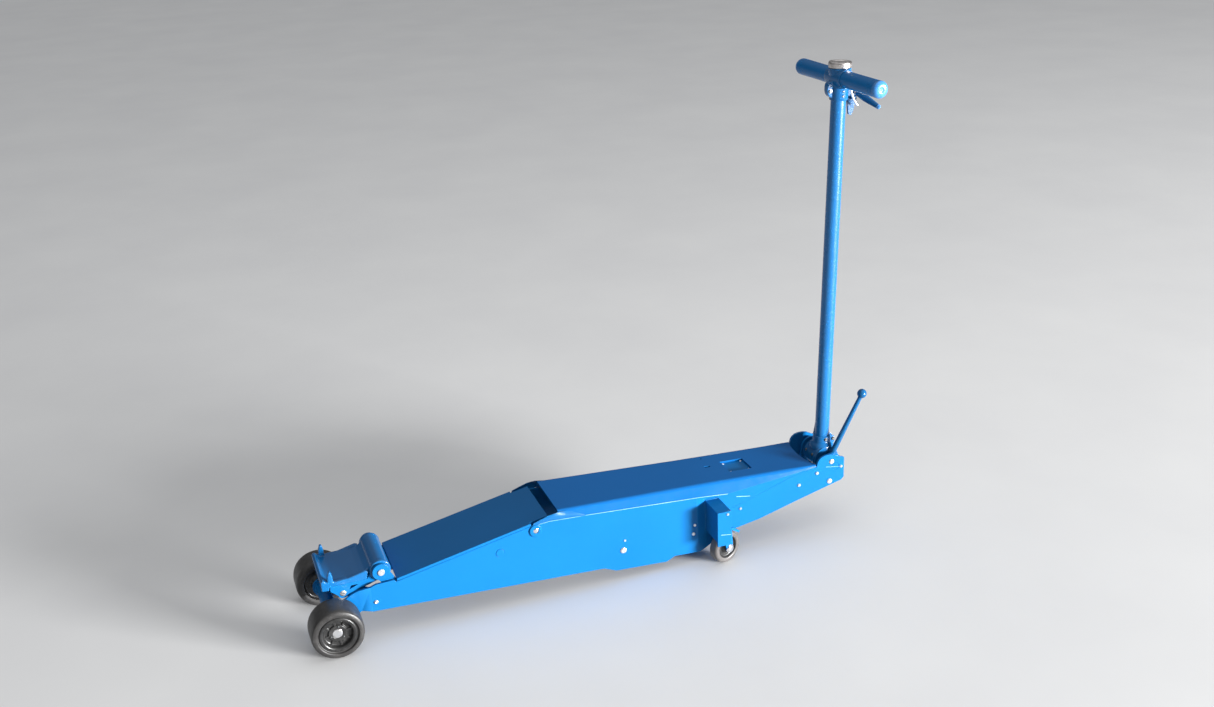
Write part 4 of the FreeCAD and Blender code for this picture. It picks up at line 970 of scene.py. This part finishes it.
def caster_details(side, sign):
    """Axle with its heads, and the ribs pressed into the fork's cheeks."""
    turn = Matrix.Rotation(CASTER_TURN * sign, 3, "Z")
    centre = middle("caster_axle_" + side)
    bm = bmesh.new()
    for way in (1.0, -1.0):
        outward = turn @ LEFT * way
        face = centre + outward * CHEEK * MM
        turned(bm, filleted([(-1.0, 0.0), (-1.0, 13.5), (0.9, 13.5), (0.9, 11.6, 0.5),
                             (4.2, 11.6, 1.8), (5.8, 6.0, 2.5), (6.0, 0.0)]), face, outward, 40)
    turned(bm, [(-CHEEK, 0.0), (-CHEEK, 6.9), (CHEEK, 6.9), (CHEEK, 0.0)], centre,
           turn @ LEFT, 32)
    add_piece("caster_axle_heads_" + side, bm, "swivel_" + side, CHROME, "caster_axle_" + side)
    bm = bmesh.new()
    across, up = turn @ Vector((1.4, 0.0, 0.0)) * MM, UP * 1.5 * MM
    for height, half in ((22.0, 9.0), (27.5, 8.45), (33.0, 7.9)):
        for way in (1.0, -1.0):
            ends = [centre + turn @ Vector((way * CHEEK, y, height)) * MM
                    for y in (-half - 1.0, half - 3.0)]
            lofted(bm, [(end, across, up) for end in ends], 12, 2.2)
    # ribs in the lighter enamel, a painted highlight
    add_piece("caster_fork_ribs_" + side, bm, "swivel_" + side, HIGHLIT_WORN_BLUE)


for side, sign in SIDES:
    caster_details(side, sign)


# ---------------------------------------- handle foot

def radial(angle):
    """Direction at an angle from +Y towards +Z, in the handle's frame."""
    turn = math.radians(angle)
    return (on_handle(0.0, math.cos(turn), math.sin(turn)) - HANDLE).normalized()


def handle_foot():
    """Round cast yoke: a drum open below for the pump roller, flared up to the tube."""
    bm = bmesh.new()
    for start in (28.0, -38.0):
        turned(bm, [(start, 13.2), (start, 42.0), (start + 10.0, 42.0), (start + 10.0, 13.2)],
               HANDLE, LEFT, 80, closed=True)
    outer = arc(0.0, 0.0, 45.0, 200.0, 100.0) + arc(0.0, 0.0, 42.0, 90.0, -20.0)
    slab(bm, outer + arc(0.0, 0.0, 15.0, -20.0, 200.0), -32.0, 32.0, on_handle)
    turned(bm, filleted([(30.0, 22.5), (30.0, 41.0), (42.0, 38.0, 8.0), (50.0, 31.0, 8.0),
                         (62.0, 29.0, 3.0), (70.0, 26.5, 2.0), (71.0, 22.5)]),
           HANDLE, radial(90.0), 72, closed=True)
    for start in (5.0, -12.0):
        slab(bm, filleted([(24.0, 40.0), (24.0, 66.0), (36.0, 66.0, 6.0), (42.0, 58.0, 6.0),
                           (41.0, 42.0, 4.0), (34.0, 38.0)]), start, start + 7.0, on_handle)
    cast_piece("handle_yoke_casting", [mesh_of(bm, "yoke")], "handle", CAST_BLUE, "handle_yoke",
               voxel=1.3)
    bm = bmesh.new()
    for x in (20.0, -20.0):
        for angle in (128.0, 160.0):
            socket_head(bm, HANDLE + Vector((x * MM, 0.0, 0.0)) + radial(angle) * 44.4 * MM,
                        radial(angle), 4.6, 3.6)
    for sign in (1.0, -1.0):
        hex_head(bm, on_handle(sign * 12.2, 35.0, 55.0), LEFT * sign, 5.2, 4.6)
        hex_head(bm, on_handle(sign * 27.6, 0.0, 62.0), LEFT * sign, 5.0, 4.0)
    add_piece("handle_yoke_screws", bm, "handle", STEEL, sharp=30.0)


handle_foot()


# ---------------------------------------- T-head

BAR = 1200.0                         # from the handle pivot up to the T-bar's axis


def t_head():
    """Cast head: a sleeve swelling round the bar, a boss under the knob, and its clamp lug."""
    bm = bmesh.new()
    turned(bm, filleted([(-44.0, 24.7), (-44.0, 26.6), (-38.0, 28.0, 4.0), (-18.0, 29.4, 12.0),
                         (0.0, 30.6, 12.0), (18.0, 29.4, 12.0), (38.0, 28.0, 4.0), (44.0, 26.6),
                         (44.0, 24.7)]),
           on_handle(0.0, 0.0, BAR), LEFT, 72, closed=True)
    turned(bm, filleted([(BAR - 64.0, 22.5), (BAR - 64.0, 26.2), (BAR - 58.0, 27.6, 2.0),
                         (BAR - 24.0, 28.2, 6.0), (BAR + 6.0, 29.0, 6.0), (BAR + 14.0, 32.4, 3.0),
                         (BAR + 27.6, 33.0, 1.0), (BAR + 27.8, 24.0),
                         (BAR + 27.8, 8.0), (BAR - 26.0, 8.0), (BAR - 26.0, 22.5)]),
           HANDLE, radial(90.0), 72, closed=True)
    slab(bm, filleted([(-20.0, BAR - 58.0), (-36.0, BAR - 52.0, 10.0), (-43.0, BAR - 38.0, 8.0),
                       (-42.0, BAR - 14.0, 8.0), (-22.0, BAR - 4.0)]), -10.0, 10.0, on_handle)
    cast_piece("t_head_casting", [mesh_of(bm, "t_head")], "handle", CAST_BLUE, "t_head",
               voxel=1.2)
    bm = bmesh.new()
    for sign in (1.0, -1.0):
        hex_head(bm, on_handle(sign * 10.0, -33.0, BAR - 36.0), LEFT * sign, 5.0, 4.0)
    for height in (BAR - 50.0, BAR - 36.0):
        socket_head(bm, on_handle(27.4, 0.0, height), LEFT, 3.4, 2.6)
    add_piece("t_head_screws", bm, "handle", STEEL, sharp=30.0)


def grips():
    """Turned grips with a seam near each end, and rounded caps, worn and painted lighter as a
    highlight.
    """
    tubes, caps = bmesh.new(), bmesh.new()
    for _, sign in SIDES:
        outward = LEFT * sign
        centre = on_handle(0.0, 0.0, BAR)
        turned(tubes, [(16.0, 21.0), (16.0, 24.5), (96.0, 24.3), (196.0, 24.5), (196.8, 23.7),
                       (198.6, 23.7), (199.4, 24.5), (216.5, 24.5), (216.5, 21.0)],
               centre, outward, 72, closed=True)
        turned(caps, filleted([(215.0, 0.0), (215.0, 24.0), (217.2, 24.0), (217.6, 24.6, 0.4),
                               (224.5, 24.2, 5.0), (231.5, 17.0, 8.0), (232.3, 8.0, 4.0),
                               (231.0, 5.0, 1.0), (231.0, 0.0)]), centre, outward, 64)
    add_piece("t_bar_grips", tubes, "handle", BLUE, "t_bar")
    # caps in the lighter enamel: worn paint and a painted highlight
    add_piece("t_bar_end_caps", caps, "handle", HIGHLIT_WORN_BLUE, "t_bar_caps")


def knob():
    """Release knob with a rolled rim and a dished top."""
    bm = bmesh.new()
    turned(bm, filleted([(BAR + 28.6, 0.0), (BAR + 28.6, 31.4), (BAR + 30.0, 33.4, 1.2),
                         (BAR + 36.0, 33.8, 3.0), (BAR + 42.5, 34.0, 3.0),
                         (BAR + 47.0, 32.0, 3.5), (BAR + 46.2, 28.0, 2.0),
                         (BAR + 43.6, 24.0, 3.0), (BAR + 43.2, 0.0)], 7),
           HANDLE, radial(90.0), 88)
    add_piece("release_knob_turned", bm, body_of("release_knob"), KNOB, "release_knob")


def lock_rod():
    """Bright curved rod beside the trigger bracket."""
    top, bend, tip = (Vector((22.0, y, BAR - down))
                      for y, down in ((27.0, 30.0), (34.0, 62.0), (51.0, 80.0)))
    bm = bmesh.new()
    swept(bm, [on_handle(*quadratic(top, bend, tip, step / 24.0)) for step in range(25)],
          3.4, 20, 1.25)
    add_piece("lock_rod_bent", bm, body_of("lock_rod"), CHROME, "lock_rod")


# distance from the trigger's hinge, half-width and half-thickness
TRIGGER = ((-7.0, 4.0, 2.4), (-5.0, 6.4, 3.4), (0.0, 8.8, 4.0), (14.0, 9.8, 4.2),
           (30.0, 10.4, 4.2), (48.0, 9.4, 4.1), (64.0, 7.8, 3.9), (77.0, 6.8, 3.8),
           (83.0, 6.0, 3.4), (86.0, 4.2, 2.4), (87.0, 2.0, 1.2))
TRIGGER_ROOT = Vector((14.0, 55.0, BAR - 46.0))
TRIGGER_ALONG = Vector((82.0, 36.0, -38.0)).normalized()
TRIGGER_SQUEEZE = Vector((0.0, -0.75, 0.66))


def trigger_lever():
    """Smooth tapered lever in the darker enamel as painted shade, widest in the middle, with a
    rounded tip, worn and painted lighter as a highlight.
    """
    tilt = Matrix.Rotation(-HANDLE_LEAN, 3, "X")
    hinge = TRIGGER_ALONG.cross(TRIGGER_SQUEEZE).normalized()
    flat = TRIGGER_ALONG.cross(hinge)
    stations = []
    for reach, wide, thick in TRIGGER:
        centre = on_handle(*(TRIGGER_ROOT + TRIGGER_ALONG * reach))
        stations.append((centre, tilt @ hinge * wide * MM, tilt @ flat * thick * MM))
    bm = bmesh.new()
    lofted(bm, stations, 32, 2.6)
    # the lever in the darker enamel, painted shade
    add_piece("trigger_lever_forged", bm, "trigger", SHADED_BLUE, "trigger_lever", sharp=60.0)
    # a lighter skin over the tip: worn paint and a painted highlight
    bm = bmesh.new()
    lofted(bm, [(c, a * 1.03, u * 1.06) for c, a, u in stations[7:]], 32, 2.6)
    add_piece("trigger_lever_tip", bm, "trigger", HIGHLIT_WORN_BLUE, sharp=60.0)


t_head()
grips()
knob()
lock_rod()
trigger_lever()


# ---------------------------------------- studio and camera

LAMPS = (                            # place, aim, width and height in metres, and watts
    ("key", (10.4, 9.4, 1.55), (0.0, 0.0, 0.35), 4.6, 2.4, 7600.0),
    ("fill", (2.6, -3.6, 1.4), (0.0, -0.4, 0.2), 2.4, 1.6, 6.0),
    ("top", (0.2, 0.4, 3.6), (0.0, 0.0, 0.0), 3.0, 3.0, 12.0),
)
# how strongly the room shines, against the height of the direction that is looked in
SKY = (("From Min", 0.28), ("From Max", 0.75), ("To Min", 0.13), ("To Max", 0.60))
FLOOR_REACH = 90.0
LENS = 39.11
CAMERA_PLACE = (3.3728, -1.1147, 2.1144)
CAMERA_HEADING, CAMERA_DOWN, CAMERA_ROLL = (math.radians(turn) for turn in (70.8, 21.73, -2.53))


def pale_floor():
    """A plain floor under the jack."""
    n = Nodes("pale_floor")
    tone = n.span(n.noise(1.4), 0.3, 0.7)
    n.set(Base_Color=n.mix(tone, (0.74, 0.74, 0.74), (0.78, 0.78, 0.775)),
          Roughness=n.span(n.noise(30.0), 0.3, 0.7, 0.55, 0.7))
    bm = bmesh.new()
    bmesh.ops.create_grid(bm, x_segments=4, y_segments=4, size=FLOOR_REACH)
    floor = bpy.data.objects.new("floor", bpy.data.meshes.new("floor"))
    bm.to_mesh(floor.data)
    bm.free()
    floor.data.materials.append(n.material)
    scene.collection.objects.link(floor)


def room():
    """A room that is dim at the horizon and pale overhead."""
    world = bpy.data.worlds.new("soft_room")
    world.use_nodes = True
    scene.world = world
    tree = world.node_tree
    sky = tree.nodes["Background"]
    sky.inputs["Color"].default_value = (0.96, 0.975, 1.0, 1.0)
    direction = tree.nodes.new("ShaderNodeTexCoord")
    parts = tree.nodes.new("ShaderNodeSeparateXYZ")
    rise = tree.nodes.new("ShaderNodeMapRange")
    for key, number in SKY:
        rise.inputs[key].default_value = number
    tree.links.new(direction.outputs["Generated"], parts.inputs["Vector"])
    tree.links.new(parts.outputs["Z"], rise.inputs["Value"])
    tree.links.new(rise.outputs["Result"], sky.inputs["Strength"])


def lamps():
    """Soft rectangular lights, each aimed at a point of the jack."""
    for name, place, aim, wide, tall, power in LAMPS:
        lamp = bpy.data.lights.new(name, "AREA")
        lamp.shape = "RECTANGLE"
        lamp.size, lamp.size_y, lamp.energy = wide, tall, power
        obj = bpy.data.objects.new(name, lamp)
        obj.location = place
        obj.rotation_euler = (Vector(aim) - Vector(place)).to_track_quat("-Z", "Y").to_euler()
        scene.collection.objects.link(obj)


def main_camera():
    """The camera, from the jack's left and a little in front of its middle."""
    lens = bpy.data.cameras.new("camera")
    lens.lens = LENS
    lens.sensor_width = 36.0
    camera = bpy.data.objects.new("camera", lens)
    camera.location = CAMERA_PLACE
    camera.rotation_euler = (Matrix.Rotation(CAMERA_HEADING, 3, "Z")
                             @ Matrix.Rotation(math.pi / 2.0 - CAMERA_DOWN, 3, "X")
                             @ Matrix.Rotation(CAMERA_ROLL, 3, "Z")).to_euler()
    scene.collection.objects.link(camera)
    scene.camera = camera
    scene.view_settings.view_transform = "Standard"


pale_floor()
room()
lamps()
main_camera()
